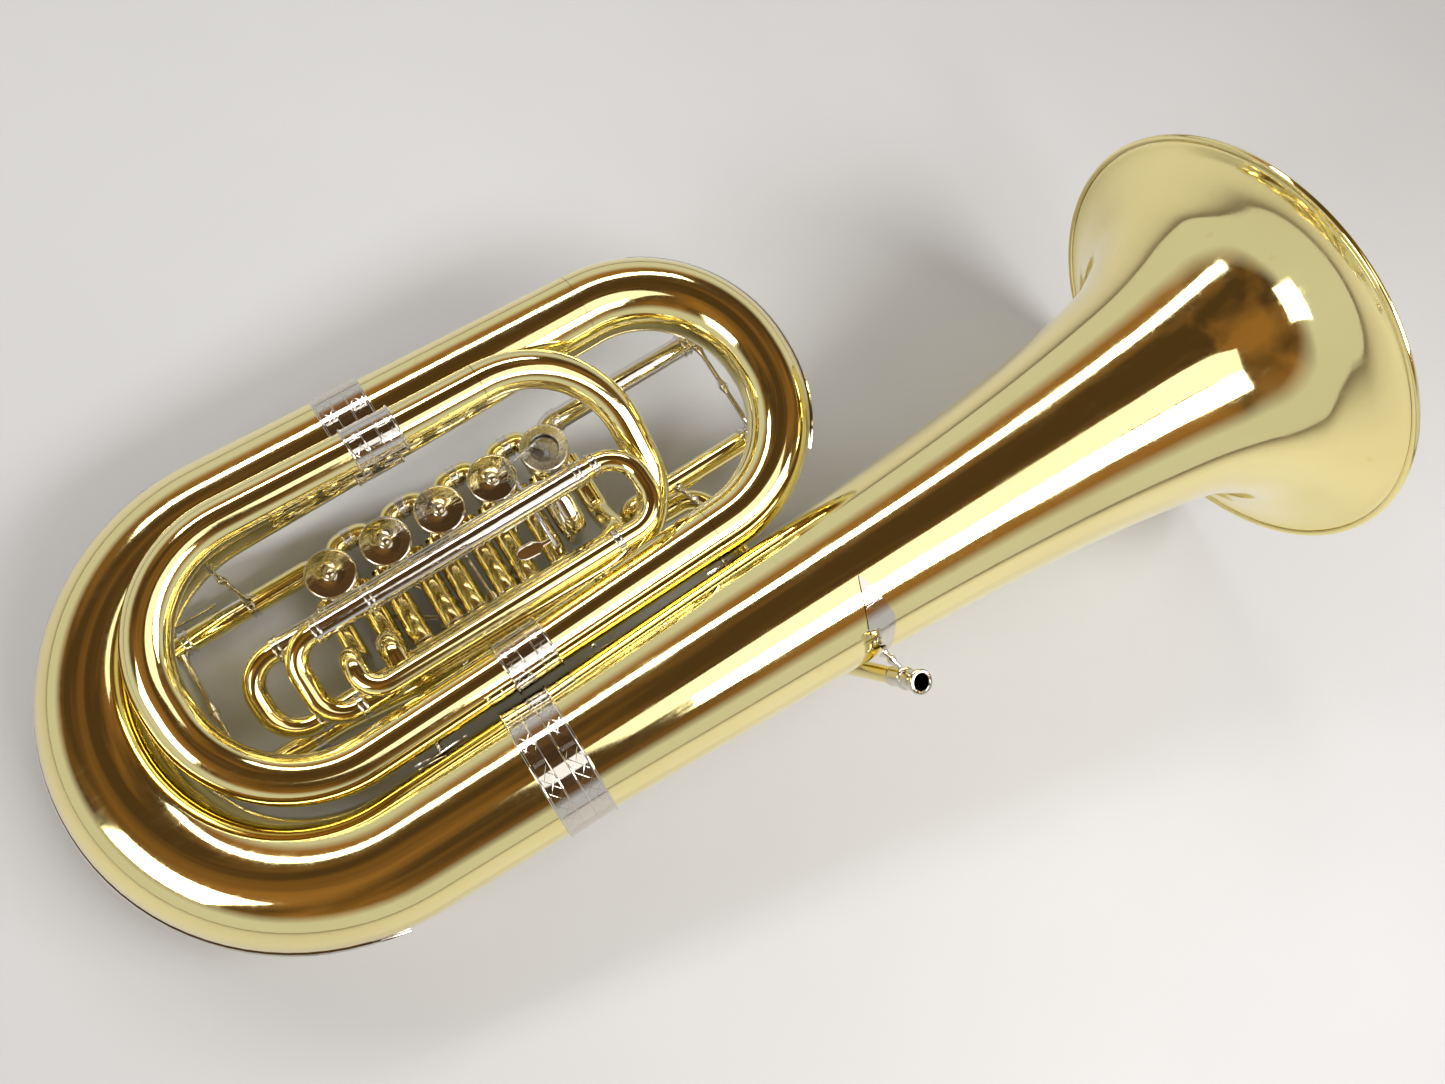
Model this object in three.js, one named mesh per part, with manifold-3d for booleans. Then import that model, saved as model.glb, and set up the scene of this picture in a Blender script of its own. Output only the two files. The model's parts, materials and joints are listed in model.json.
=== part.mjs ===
// A five-valve rotary tuba, lying on the bell rim and on the crook of its main tuning slide.
// Millimetres, +Z up. The instrument is laid out in its own axes first: x along the bell
// towards the mouth, y across the body towards the valves, z square to the body. The group
// "instrument" then tips it on to the floor.
import * as THREE from "three";
import { mergeVertices } from "three/addons/utils/BufferGeometryUtils.js";
import Module from "manifold-3d";

const wasm = await Module();
wasm.setup();

// ---------------------------------------------------------------- driving dimensions
const BELL_RADIUS = 210; // mouth of the bell
const BELL_LENGTH = 731; // rim to the end of the bell stack
const RIM_WIRE = 3; // radius of the wire in the rolled rim
const SHEET = 1; // wall of the bell and the bows
const JOINT_GAP = 0.4; // between two tubes that meet end to end
const HIDDEN_GAP = 1.5; // the same, under a garland
const FIT = 0.35; // between a tube and the sleeve round it
const BOW_SPAN = 331.4; // bell axis to the first branch
const BOW_RISE = 8; // how far the bottom bow climbs out of the bell's plane
const BOW_REACH = 1031; // rim to the middle of the bottom bow's tube at its far end
const TOP_BOW_X = -394; // middle of the top bow's tube at its near end
const SECOND_BRANCH_Y = 97; // second branch where the top bow hands over to it
const INNER_BOW_INSET = 40.6; // bottom bow to the inner bottom bow, middles of the tubes
const INNER_BOW_Y = 76; // corner of the inner bottom bow
const INNER_TOP_CLEARANCE = 49.65; // last slide leg of the row to the inner top bow
const THIRD_BRANCH_Y = 297;
const FOURTH_BRANCH_Y = 118.5;
const BORE_RADIUS = 8.6; // inside of the valve tubing
const TUBE_WALL = 0.8;
const VALVES = 5;
const VALVE_PITCH = 54.4;
const VALVE_ROW_TURN = THREE.MathUtils.degToRad(1.2); // the row isn't quite in line with the bell
const FIRST_VALVE = new THREE.Vector3(-815.7, 245.2, -57);
const CASING_RADIUS = 20;
const CASING_HALF = 17; // half the height of a casing
const CASING_WALL = 2.4;
const PLATE = 3; // bottom bearing plate of a casing
const PORT_OFFSET = 11; // through ports, either side of a valve's middle
const LEG_OFFSET = 15.5; // slide legs, either side of a valve's middle
const KNUCKLE_OFFSET = 21; // knuckle tubes, from the valves' middle line
const KNUCKLE_BEND = 11;
const PORT_BORE = 7;
const TRAVEL = { main: 40, lead: 30, first: 17, fifth: 25, short: 25 }; // how far each slide draws
const KEPT = 8; // length of an inner leg still in its sleeve when the slide is drawn out
const CAP_RADIUS = 23;
const CAP_HEIGHT = 6.5;
const SPINDLE_RADIUS = 4;
const STOP_PIN_RADIUS = 8; // stop arm's pin, from the rotor's axis
const PIN_HEIGHT = 2; // stop pin, above the stop arm
const STOP_SWING = Math.PI / 4; // either side of the valve's middle position
const LEVER_AXLE_Y = 214;
const LEVER_AXLE_Z = -41;
const LEVER_DROP = 40; // axle down to the link rods
const LEVER_PITCH = 23; // between finger plates
const FLOAT_GAP = 0.6; // at the open pivot of each linkage

// facets round a tube, by its size, and the angle of one step along a bend
const ROUND = { bell: 24, bow: 14, branch: 12, tube: 8, rod: 6 };
const BOW_STEP = THREE.MathUtils.degToRad(18);
const BEND_STEP = THREE.MathUtils.degToRad(30);

const TUBE_RADIUS = BORE_RADIUS + TUBE_WALL;
const SLEEVE_RADIUS = TUBE_RADIUS + FIT + TUBE_WALL; // outer leg of a slide

// ---------------------------------------------------------------- materials
const finish = (color, roughness) => new THREE.MeshStandardMaterial({ color, roughness, metalness: 1 });
const BRASS = finish(0xc9a24a, 0.12);
const NICKEL = finish(0xc9c6bf, 0.14);
const STEEL = finish(0x8f9196, 0.25);

const instrument = new THREE.Group();
const place = (name, geometry, material) => {
  const mesh = new THREE.Mesh(geometry, material);
  mesh.name = name;
  instrument.add(mesh);
  return mesh;
};
const at = (x, y, z) => new THREE.Vector3(x, y, z);

// ---------------------------------------------------------------- solids, joined and cut
const solid = (geometry) => {
  const bare = geometry.index ? geometry.toNonIndexed() : geometry.clone();
  bare.deleteAttribute("normal");
  bare.deleteAttribute("uv");
  const merged = mergeVertices(bare, 1e-4);
  return new wasm.Manifold(
    new wasm.Mesh({
      numProp: 3,
      vertProperties: merged.attributes.position.array,
      triVerts: new Uint32Array(merged.index.array),
    }),
  );
};
const geometryOf = (made) => {
  const mesh = made.getMesh();
  const positions = new THREE.BufferAttribute(new Float32Array(mesh.vertProperties), 3);
  return new THREE.BufferGeometry()
    .setAttribute("position", positions)
    .setIndex(new THREE.BufferAttribute(new Uint32Array(mesh.triVerts), 1));
};
const join = (geometries) =>
  geometryOf(geometries.slice(1).reduce((sum, g) => sum.add(solid(g)), solid(geometries[0])));

// ---------------------------------------------------------------- paths
// A route through corner points with a round bend at each inner corner. It returns stations:
// a point and a direction, one at each end of a straight and one each step round a bend.
function route(corners, bends, step = BEND_STEP, hint = at(0, 0, 1)) {
  const radii = Array.isArray(bends) ? bends : corners.slice(2).map(() => bends);
  const stations = [];
  const push = (point, along) => stations.push({ point, along });
  const way = (i) => corners[i + 1].clone().sub(corners[i]).normalize();
  push(corners[0].clone(), way(0));
  for (let i = 1; i < corners.length - 1; i++) {
    const into = way(i - 1);
    const out = way(i);
    const turn = into.angleTo(out);
    const radius = radii[i - 1];
    const cut = radius * Math.tan(turn / 2);
    const side = out.clone().addScaledVector(into, -into.dot(out)).normalize();
    const start = corners[i].clone().addScaledVector(into, -cut);
    const steps = Math.max(1, Math.round(turn / step));
    for (let k = 0; k <= steps; k++) {
      const a = (turn * k) / steps;
      const point = start
        .clone()
        .addScaledVector(into, radius * Math.sin(a))
        .addScaledVector(side, radius * (1 - Math.cos(a)));
      push(point, into.clone().multiplyScalar(Math.cos(a)).addScaledVector(side, Math.sin(a)));
    }
  }
  push(corners.at(-1).clone(), way(corners.length - 2));
  const apart = stations.filter((s, i) => !i || s.point.distanceTo(stations[i - 1].point) > 0.05);
  return framed(apart, hint);
}

// Gives each station its share of the length and two directions square to the path, carried
// along without twisting. hint says where the first of them starts, so that two tubes that
// slide in each other get their facets in line.
function framed(stations, hint = at(0, 0, 1)) {
  let length = 0;
  let normal = Math.abs(stations[0].along.dot(hint)) < 0.9 ? hint : at(1, 0, 0);
  stations.forEach((station, i) => {
    if (i) length += station.point.distanceTo(stations[i - 1].point);
    station.run = length;
    normal = normal.clone().addScaledVector(station.along, -normal.dot(station.along)).normalize();
    station.normal = normal;
    station.side = station.along.clone().cross(normal);
  });
  stations.forEach((station) => (station.share = station.run / length));
  return stations;
}

// ---------------------------------------------------------------- tubes
// A tube is turned as a lathe ring whose height counts stations, then bent along the path.
function bentTube(stations, radiusAt, wall, sides) {
  const outer = stations.map((s, i) => new THREE.Vector2(radiusAt(s.share), i));
  const inner = stations.map((s, i) => new THREE.Vector2(radiusAt(s.share) - wall, i)).reverse();
  return bend(new THREE.LatheGeometry([...outer, ...inner, outer[0]], sides), stations);
}

function bentRod(stations, radius, sides) {
  const skin = stations.map((s, i) => new THREE.Vector2(radius, i));
  const profile = [new THREE.Vector2(0, 0), ...skin, new THREE.Vector2(0, stations.length - 1)];
  return bend(new THREE.LatheGeometry(profile, sides), stations);
}

function bend(geometry, stations) {
  const position = geometry.attributes.position;
  const vertex = at(0, 0, 0);
  for (let i = 0; i < position.count; i++) {
    vertex.fromBufferAttribute(position, i);
    const station = stations[Math.round(vertex.y)];
    const moved = station.point
      .clone()
      .addScaledVector(station.normal, vertex.z)
      .addScaledVector(station.side, vertex.x);
    position.setXYZ(i, moved.x, moved.y, moved.z);
  }
  return geometry;
}

const taper = (from, to) => (share) => THREE.MathUtils.lerp(from, to, share);
const even = (radius) => () => radius;
const tube = (corners, bends, radius = TUBE_RADIUS, hint = at(0, 0, 1)) =>
  bentTube(route(corners, bends, BEND_STEP, hint), even(radius), TUBE_WALL, ROUND.tube);
// square to the plane of a U whose legs lie on two lines
const squareTo = (lineA, lineB, x) =>
  lineA(x + 1)
    .sub(lineA(x))
    .cross(lineB(x).sub(lineA(x)))
    .normalize();
const rod = (from, to, radius, sides = ROUND.rod) => bentRod(route([from, to], 0), radius, sides);

// A ring turned about the line from one point to another. Profile: [distance along, radius].
function turned(from, to, profile, sides) {
  const stations = framed([{ point: from.clone(), along: to.clone().sub(from).normalize() }]);
  const geometry = new THREE.LatheGeometry(
    profile.map(([along, radius]) => new THREE.Vector2(radius, along)),
    sides,
  );
  const { normal, side, along, point } = stations[0];
  const turn = new THREE.Matrix4().makeBasis(side, along, normal).setPosition(point);
  return geometry.applyMatrix4(turn);
}

// A plain round sleeve over a joint between two tubes, with a bead at each end.
function sleeve(from, to, inner, thick, sides) {
  const length = from.distanceTo(to);
  const bead = thick * 0.8;
  inner /= Math.cos(Math.PI / sides); // so that its flats clear the tube inside
  const outline = [
    [0, inner + thick + bead],
    [bead * 2, inner + thick + bead],
    [bead * 3, inner + thick],
    [length - bead * 3, inner + thick],
    [length - bead * 2, inner + thick + bead],
    [length, inner + thick + bead],
    [length, inner],
    [0, inner],
    [0, inner + thick + bead],
  ];
  return turned(from, to, outline, sides);
}

// A strip that follows the outside of a bow. outward gives the side it lies on.
function guardStrip(stations, radiusAt, centre, halfWidth, thick) {
  const ring = (station) => {
    const out = station.point.clone().sub(centre);
    out.z = 0;
    out.addScaledVector(station.along, -out.dot(station.along)).normalize();
    const across = station.along.clone().cross(out);
    const inner = radiusAt(station.share) + FIT;
    const angles = [-1, 0, 1].map((k) => (k * halfWidth) / inner);
    const point = (radius, angle) =>
      station.point
        .clone()
        .addScaledVector(out, radius * Math.cos(angle))
        .addScaledVector(across, radius * Math.sin(angle));
    return [
      ...angles.map((angle) => point(inner + thick, angle)),
      ...angles.reverse().map((angle) => point(inner, angle)),
    ];
  };
  const rings = stations.map(ring);
  const size = rings[0].length;
  const index = [];
  for (let i = 0; i + 1 < rings.length; i++) {
    for (let k = 0; k < size; k++) {
      const a = i * size + k;
      const b = i * size + ((k + 1) % size);
      index.push(a, b, a + size, b, b + size, a + size);
    }
  }
  const last = (rings.length - 1) * size;
  for (let k = 0; k + 1 < size / 2; k++) {
    const [a, b, c, d] = [k, k + 1, size - 2 - k, size - 1 - k];
    index.push(a, d, b, b, d, c);
    index.push(last + a, last + b, last + d, last + b, last + c, last + d);
  }
  return new THREE.BufferGeometry()
    .setAttribute("position", new THREE.Float32BufferAttribute(rings.flat().flatMap((p) => p.toArray()), 3))
    .setIndex(index);
}

// ---------------------------------------------------------------- bell
// Distance back from the rim and outside radius, at the mandrel's stations.
const bellShape = [
  [0, BELL_RADIUS],
  [4, BELL_RADIUS * 0.93],
  [14, BELL_RADIUS * 0.835],
  [32, BELL_RADIUS * 0.715],
  [58, BELL_RADIUS * 0.618],
  [90, 114.3],
  [150, 101.6],
  [230, 89.5],
  [330, 78.9],
  [450, 70.7],
  [600, 64],
  [BELL_LENGTH, 57.6],
];
function bellRadius(back) {
  const k = Math.max(1, bellShape.findIndex(([s]) => s >= back));
  const [s0, r0] = bellShape[k - 1];
  const [s1, r1] = bellShape[k];
  return r0 + ((r1 - r0) * (back - s0)) / (s1 - s0);
}

function makeBell() {
  const mouth = BELL_RADIUS - 2 * RIM_WIRE - FIT;
  const outer = bellShape.slice(1).map(([back, radius]) => [-back, radius]);
  const inner = outer.map(([x, radius]) => [x, radius - SHEET]);
  outer.reverse();
  return turned(
    at(0, 0, 0),
    at(1, 0, 0),
    [...outer, [-SHEET, mouth], [0, mouth], ...inner, outer[0]],
    ROUND.bell,
  );
}

function makeRimWire() {
  const middle = BELL_RADIUS - RIM_WIRE;
  const sides = 8;
  const circle = Array.from({ length: sides }, (_, k) => {
    const a = (k * 2 * Math.PI) / sides;
    return [RIM_WIRE * Math.sin(a), middle + RIM_WIRE * Math.cos(a)];
  });
  return turned(at(0, 0, 0), at(1, 0, 0), [...circle, circle[0]], ROUND.bell);
}

place("bell", makeBell(), BRASS);
place("bell_rim_wire", makeRimWire(), BRASS);

// ---------------------------------------------------------------- row of valves
const rowAlong = at(Math.cos(VALVE_ROW_TURN), Math.sin(VALVE_ROW_TURN), 0);
const valveCentre = (i) => FIRST_VALVE.clone().addScaledVector(rowAlong, i * VALVE_PITCH);
const rowEnd = valveCentre(VALVES - 1).x + LEG_OFFSET;

// ---------------------------------------------------------------- big bows and branches
const bowBend = BOW_SPAN / 2;
// how far the bottom bow has curved in from its far end, level with the inner bow's corner
const bowCurve = bowBend - Math.sqrt(bowBend ** 2 - (bowBend - INNER_BOW_Y) ** 2);
const innerLeftX = -BOW_REACH + bowCurve + INNER_BOW_INSET;
const innerRightX = rowEnd + INNER_TOP_CLEARANCE;
const bellEnd = at(-BELL_LENGTH - JOINT_GAP, 0, 0);
const firstBranchZ = BOW_RISE;
const firstStart = at(-733, BOW_SPAN, firstBranchZ);
const bottomPath = route(
  [bellEnd, at(-BOW_REACH, 0, 0), at(-BOW_REACH, BOW_SPAN, BOW_RISE), firstStart],
  bowBend - 0.5,
  BOW_STEP,
);
const bottomRadius = taper(57.4, 39.5);
place("bottom_bow", bentTube(bottomPath, bottomRadius, SHEET, ROUND.bow), BRASS);

const bowMiddle = at(-BOW_REACH + bowBend, bowBend, 0);
const guardRun = (path, from, to) => path.filter((s) => s.share >= from && s.share <= to);
place("bottom_bow_guard", guardStrip(guardRun(bottomPath, 0.2, 0.82), bottomRadius, bowMiddle, 9, 1), NICKEL);

const firstEnd = at(-512, BOW_SPAN, firstBranchZ);
const firstRadius = taper(39.4, 34.6);
const firstPath = route([firstStart.clone().add(at(HIDDEN_GAP, 0, 0)), firstEnd], 0);
place("first_branch", bentTube(firstPath, firstRadius, SHEET, ROUND.bow), BRASS);

const secondStart = at(-520, SECOND_BRANCH_Y, 6);
const secondEnd = at(-709, 87, 12);
const secondAlong = secondEnd.clone().sub(secondStart).normalize();
const topCorner = secondStart
  .clone()
  .addScaledVector(secondAlong, (TOP_BOW_X - secondStart.x) / secondAlong.x);
const topBend = (BOW_SPAN - topCorner.y) / 2;
const topPath = route(
  [
    firstEnd.clone().add(at(JOINT_GAP, 0, 0)),
    at(TOP_BOW_X, BOW_SPAN, firstBranchZ),
    topCorner,
    secondStart,
  ],
  topBend - 0.5,
  BOW_STEP,
);
const topRadius = taper(34.5, 25.5);
place("top_bow", bentTube(topPath, topRadius, SHEET, ROUND.branch), BRASS);
const topMiddle = at(TOP_BOW_X - topBend, SECOND_BRANCH_Y + topBend, 0);
place("top_bow_guard", guardStrip(guardRun(topPath, 0.1, 0.72), topRadius, topMiddle, 7, 1), NICKEL);

const secondRadius = taper(25.3, 22);
const secondPath = route([secondStart.clone().addScaledVector(secondAlong, JOINT_GAP), secondEnd], 0);
place("second_branch", bentTube(secondPath, secondRadius, SHEET, ROUND.branch), BRASS);

const thirdZ = 62;
const innerBend = 105;
const innerBottomPath = route(
  [
    secondEnd.clone().addScaledVector(secondAlong, HIDDEN_GAP),
    at(innerLeftX, INNER_BOW_Y, 26),
    at(innerLeftX, THIRD_BRANCH_Y, 73),
    at(-725, THIRD_BRANCH_Y, thirdZ),
  ],
  innerBend,
  BOW_STEP,
);
const innerBottomRadius = taper(21.9, 18.4);
place("inner_bottom_bow", bentTube(innerBottomPath, innerBottomRadius, SHEET, ROUND.branch), BRASS);

const thirdStart = at(-725 + HIDDEN_GAP, THIRD_BRANCH_Y, thirdZ);
const thirdEnd = at(-628, THIRD_BRANCH_Y, 61);
place(
  "third_branch",
  bentTube(route([thirdStart, thirdEnd], 0), taper(18.3, 17.4), SHEET, ROUND.branch),
  BRASS,
);

const fourthZ = -30;
const fourthStart = at(-610, FOURTH_BRANCH_Y, fourthZ);
const innerTopPath = route(
  [
    thirdEnd.clone().add(at(JOINT_GAP, 0, 0)),
    at(innerRightX, THIRD_BRANCH_Y, 59),
    at(innerRightX, FOURTH_BRANCH_Y, -29),
    fourthStart,
  ],
  [92, 76],
  BOW_STEP,
);
const innerTopRadius = taper(17.3, 13.6);
place("inner_top_bow", bentTube(innerTopPath, innerTopRadius, SHEET, ROUND.branch), BRASS);

// ---------------------------------------------------------------- garlands over the joints
const GARLAND = 44;
const garland = (name, middle, along, radius) => {
  const half = along.clone().normalize().multiplyScalar(GARLAND / 2);
  const [from, to] = [middle.clone().sub(half), middle.clone().add(half)];
  place(name, sleeve(from, to, radius + FIT, 0.9, ROUND.bow), NICKEL);
};
garland("bell_garland", at(-BELL_LENGTH - 0.2, 0, 0), at(1, 0, 0), bellRadius(BELL_LENGTH - GARLAND / 2) + 0.2);
garland("first_branch_garland", firstStart, at(1, 0, 0), 40.8);
garland("second_branch_garland", secondEnd, secondAlong, 22.9);
garland("third_branch_garland", at(-725, THIRD_BRANCH_Y, thirdZ), at(1, 0, -0.035), 18.9);

// ---------------------------------------------------------------- valves
const LEG_ENDS = [218, 150, 150, 150, 218]; // where each valve's outer slide legs stop
const casingBore = CASING_RADIUS - CASING_WALL;
const ROTOR_SIDES = 12;
// a turned facet of the rotor must clear the flats of the bore
const rotorRadius = casingBore * Math.cos(Math.PI / ROTOR_SIDES) - FIT;

function casingBody(c) {
  const profile = [
    [-CASING_HALF, SPINDLE_RADIUS + FIT],
    [-CASING_HALF, CASING_RADIUS],
    [CASING_HALF, CASING_RADIUS],
    [CASING_HALF, casingBore],
    [-CASING_HALF + PLATE, casingBore],
    [-CASING_HALF + PLATE, SPINDLE_RADIUS + FIT],
    [-CASING_HALF, SPINDLE_RADIUS + FIT],
  ];
  return turned(c, c.clone().add(at(0, 0, 1)), profile, ROTOR_SIDES);
}

const plug = (from, to, radius = BORE_RADIUS) => rod(from, to, radius, ROUND.tube);

// A solid cylinder a little wider than a casing, to cut what butts against it.
const casingRoom = (i, extra) => {
  const c = valveCentre(i);
  const [low, high, radius] = [-CASING_HALF - 9, CASING_HALF + 9, CASING_RADIUS + extra];
  const up = c.clone().add(at(0, 0, 1));
  return turned(c, up, [[low, 0], [low, radius], [high, radius], [high, 0]], ROTOR_SIDES);
};
const buttAgainst = (i, geometry) => geometryOf(solid(geometry).subtract(solid(casingRoom(i, FIT))));

// The knuckle that carries the air from one valve to the next.
function knuckle(i) {
  const a = valveCentre(i);
  const b = valveCentre(i + 1);
  const path = [
    at(a.x + PORT_OFFSET, a.y + 6, a.z),
    at(a.x + PORT_OFFSET, a.y + KNUCKLE_OFFSET, a.z),
    at(b.x - PORT_OFFSET, b.y + KNUCKLE_OFFSET, b.z),
    at(b.x - PORT_OFFSET, b.y + 6, b.z),
  ];
  return buttAgainst(i + 1, tube(path, KNUCKLE_BEND));
}

// One casing with the knuckle to the next valve and its outer slide legs.
function makeCasing(i) {
  const c = valveCentre(i);
  const parts = i + 1 < VALVES ? [knuckle(i)] : [];
  const holes = [];
  for (const side of [-1, 1]) {
    const x = c.x + side * PORT_OFFSET;
    holes.push(plug(at(x, c.y + 5, c.z), at(x, c.y + CASING_RADIUS, c.z), PORT_BORE));
    const leg = c.x + side * LEG_OFFSET;
    parts.push(tube([at(leg, LEG_ENDS[i], c.z), at(leg, c.y - 8, c.z)], 0, SLEEVE_RADIUS));
    holes.push(plug(at(leg, LEG_ENDS[i] - 1, c.z), at(leg, c.y - 5, c.z), SLEEVE_RADIUS - TUBE_WALL));
  }
  const up = c.clone().add(at(0, 0, 1));
  const [low, high] = [-CASING_HALF + PLATE, CASING_HALF + 1];
  const room = turned(c, up, [[low, 0], [low, casingBore], [high, casingBore], [high, 0]], ROTOR_SIDES);
  const shell = parts.reduce((sum, g) => sum.add(solid(g)), solid(casingBody(c)));
  return geometryOf(holes.reduce((rest, g) => rest.subtract(solid(g)), shell).subtract(solid(room)));
}

// Rotor with its two air passages, its spindle and the stop arm on the spindle's end.
// The first four stop arms are on the bottom, the fifth on top.
function makeRotor(i) {
  const c = valveCentre(i);
  const low = -CASING_HALF + PLATE + FIT;
  const high = CASING_HALF - FIT;
  const up = c.clone().add(at(0, 0, 1));
  const onTop = i === VALVES - 1;
  const tip = onTop ? CASING_HALF + CAP_HEIGHT + 3.2 : -CASING_HALF - 3.6;
  const body = turned(c, up, [[low, 0], [low, rotorRadius], [high, rotorRadius], [high, 0]], ROTOR_SIDES);
  const spindle = turned(
    c,
    up,
    [
      [Math.min(low + 1, tip), 0],
      [Math.min(low + 1, tip), SPINDLE_RADIUS],
      [Math.max(high - 1, tip), SPINDLE_RADIUS],
      [Math.max(high - 1, tip), 0],
    ],
    ROTOR_SIDES,
  );
  const armZ = tip + (onTop ? -2.2 : 0);
  const angle = onTop ? Math.PI * 0.75 : STOP_SWING;
  const arm = new THREE.BoxGeometry(STOP_PIN_RADIUS + 6, 6, 2.2);
  arm.translate((STOP_PIN_RADIUS + 6) / 2 - 3, 0, 0);
  const turn = new THREE.Matrix4().makeRotationZ(angle).setPosition(c.x, c.y, c.z + armZ + 1.1);
  arm.applyMatrix4(turn);
  const pinX = c.x + STOP_PIN_RADIUS * Math.cos(angle);
  const pinY = c.y + STOP_PIN_RADIUS * Math.sin(angle);
  const pinWay = onTop ? 1 : -1;
  const pinRoot = c.z + tip - pinWay;
  const pin = rod(at(pinX, pinY, pinRoot), at(pinX, pinY, pinRoot + pinWay * (PIN_HEIGHT + 1)), 1.5);
  const scoop = (side) =>
    plug(at(c.x - 40, c.y + side * PORT_OFFSET, c.z), at(c.x + 40, c.y + side * PORT_OFFSET, c.z), 7.5);
  const made = solid(body)
    .subtract(solid(scoop(-1)))
    .subtract(solid(scoop(1)))
    .add(solid(spindle))
    .add(solid(arm))
    .add(solid(pin));
  return geometryOf(made);
}

// Screw cap with a small domed hub. The fifth is open in the middle for its stop arm.
function makeCap(i) {
  const c = valveCentre(i);
  const up = c.clone().add(at(0, 0, 1));
  const foot = CASING_HALF + FIT;
  const open = i === VALVES - 1;
  const lid = foot + CAP_HEIGHT;
  const skirt = [
    [foot - 6, CASING_RADIUS + FIT],
    [foot - 6, CAP_RADIUS],
    [lid - 1, CAP_RADIUS],
    [lid, CAP_RADIUS - 1],
  ];
  const hub = [
    [lid, 6],
    [lid + 1.5, 5],
    [lid + 3.5, 3],
    [lid + 4, 0],
    [foot + 3, 0],
  ];
  const hole = [
    [lid, SPINDLE_RADIUS + 3],
    [foot + 3, SPINDLE_RADIUS + 3],
  ];
  const under = [
    [foot + 3, CASING_RADIUS - 2],
    [foot, CASING_RADIUS + FIT],
  ];
  const profile = open ? [...skirt, ...hole, ...under, skirt[0]] : [...skirt, ...hub, ...under, skirt[0]];
  return turned(c, up, profile, ROTOR_SIDES);
}

for (let i = 0; i < VALVES; i++) {
  const number = i + 1;
  place("valve_casing_" + number, makeCasing(i), BRASS);
  place("rotor_" + number, makeRotor(i), STEEL);
  place("valve_cap_" + number, makeCap(i), NICKEL);
}

// ---------------------------------------------------------------- valve slides
const U_BEND = LEG_OFFSET - 0.5;
// Slides two to four: a plain U pushed into the legs of their valves.
const slideFoot = [0, 126, 108, 92];
for (const i of [1, 2, 3]) {
  const c = valveCentre(i);
  const [left, right] = [c.x - LEG_OFFSET, c.x + LEG_OFFSET];
  const corners = [
    at(left, LEG_ENDS[i] + TRAVEL.short + KEPT, c.z),
    at(left, slideFoot[i], c.z),
    at(right, slideFoot[i], c.z),
    at(right, LEG_ENDS[i] + TRAVEL.short + KEPT, c.z),
  ];
  place("valve_slide_" + (i + 1), tube(corners, U_BEND), BRASS);
}

// First valve: a loop laid over the others, with its own pull crook at the far end.
// onLine gives the point at some x of the straight line through two points, and beside does
// the same for the line through one point that runs along another line.
const onLine = (a, b) => (x) => a.clone().lerp(b, (x - a.x) / (b.x - a.x));
const beside = (line, a) => onLine(a, a.clone().add(line(1)).sub(line(0)));
const dropY = 160; // where the loops' tubes come down to the valves
const portEnd = LEG_ENDS[0] - JOINT_GAP;
const first = valveCentre(0);
const [firstLeft, firstRight] = [first.x - LEG_OFFSET, first.x + LEG_OFFSET];
const LOOP_Z = 32;
const RETURN_Z = 10;
const upperOne = onLine(at(-844, 190, LOOP_Z), at(-588, 195.3, LOOP_Z));
const lowerOne = beside(upperOne, at(-844, 122, LOOP_Z));
const returnOne = beside(upperOne, at(-844, 122, RETURN_Z));
const LOOP_RIGHT = -549;
const SLEEVE_ONE = -844;
const planeOne = squareTo(upperOne, returnOne, SLEEVE_ONE);
place(
  "valve_1_loop",
  tube(
    [
      upperOne(-588),
      upperOne(LOOP_RIGHT),
      lowerOne(LOOP_RIGHT),
      lowerOne(firstLeft),
      at(firstLeft, dropY, LOOP_Z),
      at(firstLeft, dropY, first.z),
      at(firstLeft, portEnd, first.z),
    ],
    [29, 29, 20, 17, 17],
  ),
  BRASS,
);
place(
  "valve_1_upper_leg",
  tube([upperOne(-588 - JOINT_GAP), upperOne(SLEEVE_ONE)], 0, SLEEVE_RADIUS, planeOne),
  NICKEL,
);
place(
  "valve_slide_1",
  tube(
    [
      upperOne(SLEEVE_ONE + TRAVEL.first + KEPT),
      upperOne(-870),
      returnOne(-870),
      returnOne(SLEEVE_ONE + TRAVEL.first + KEPT),
    ],
    25,
    TUBE_RADIUS,
    planeOne,
  ),
  BRASS,
);
place(
  "valve_1_return",
  tube(
    [
      returnOne(SLEEVE_ONE),
      returnOne(firstRight),
      at(firstRight, dropY, RETURN_Z),
      at(firstRight, dropY, first.z),
      at(firstRight, portEnd, first.z),
    ],
    [17, 17, 17],
    SLEEVE_RADIUS,
    planeOne,
  ),
  BRASS,
);

// Fifth valve: a second loop under the first one.
const fifth = valveCentre(VALVES - 1);
const [fifthLeft, fifthRight] = [fifth.x - LEG_OFFSET, fifth.x + LEG_OFFSET];
const upperFive = onLine(at(-880, 198, 10), at(-610, 203.6, 10));
const lowerFive = beside(upperFive, at(-880, 134, -15));
const SLEEVE_FIVE = -880;
const LEFT_FIVE = -912;
const planeFive = squareTo(upperFive, lowerFive, SLEEVE_FIVE);
place(
  "valve_5_upper_leg",
  tube(
    [
      upperFive(SLEEVE_FIVE),
      upperFive(fifthLeft),
      at(fifthLeft, 170, -6),
      at(fifthLeft, 166, fifth.z),
      at(fifthLeft, portEnd, fifth.z),
    ],
    [17, 17, 17],
    SLEEVE_RADIUS,
    planeFive,
  ),
  NICKEL,
);
place(
  "valve_5_lower_leg",
  tube(
    [
      lowerFive(SLEEVE_FIVE),
      lowerFive(fifthRight),
      at(fifthRight, 178, fifth.z),
      at(fifthRight, portEnd, fifth.z),
    ],
    [24, 24],
    SLEEVE_RADIUS,
    planeFive,
  ),
  BRASS,
);
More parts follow.
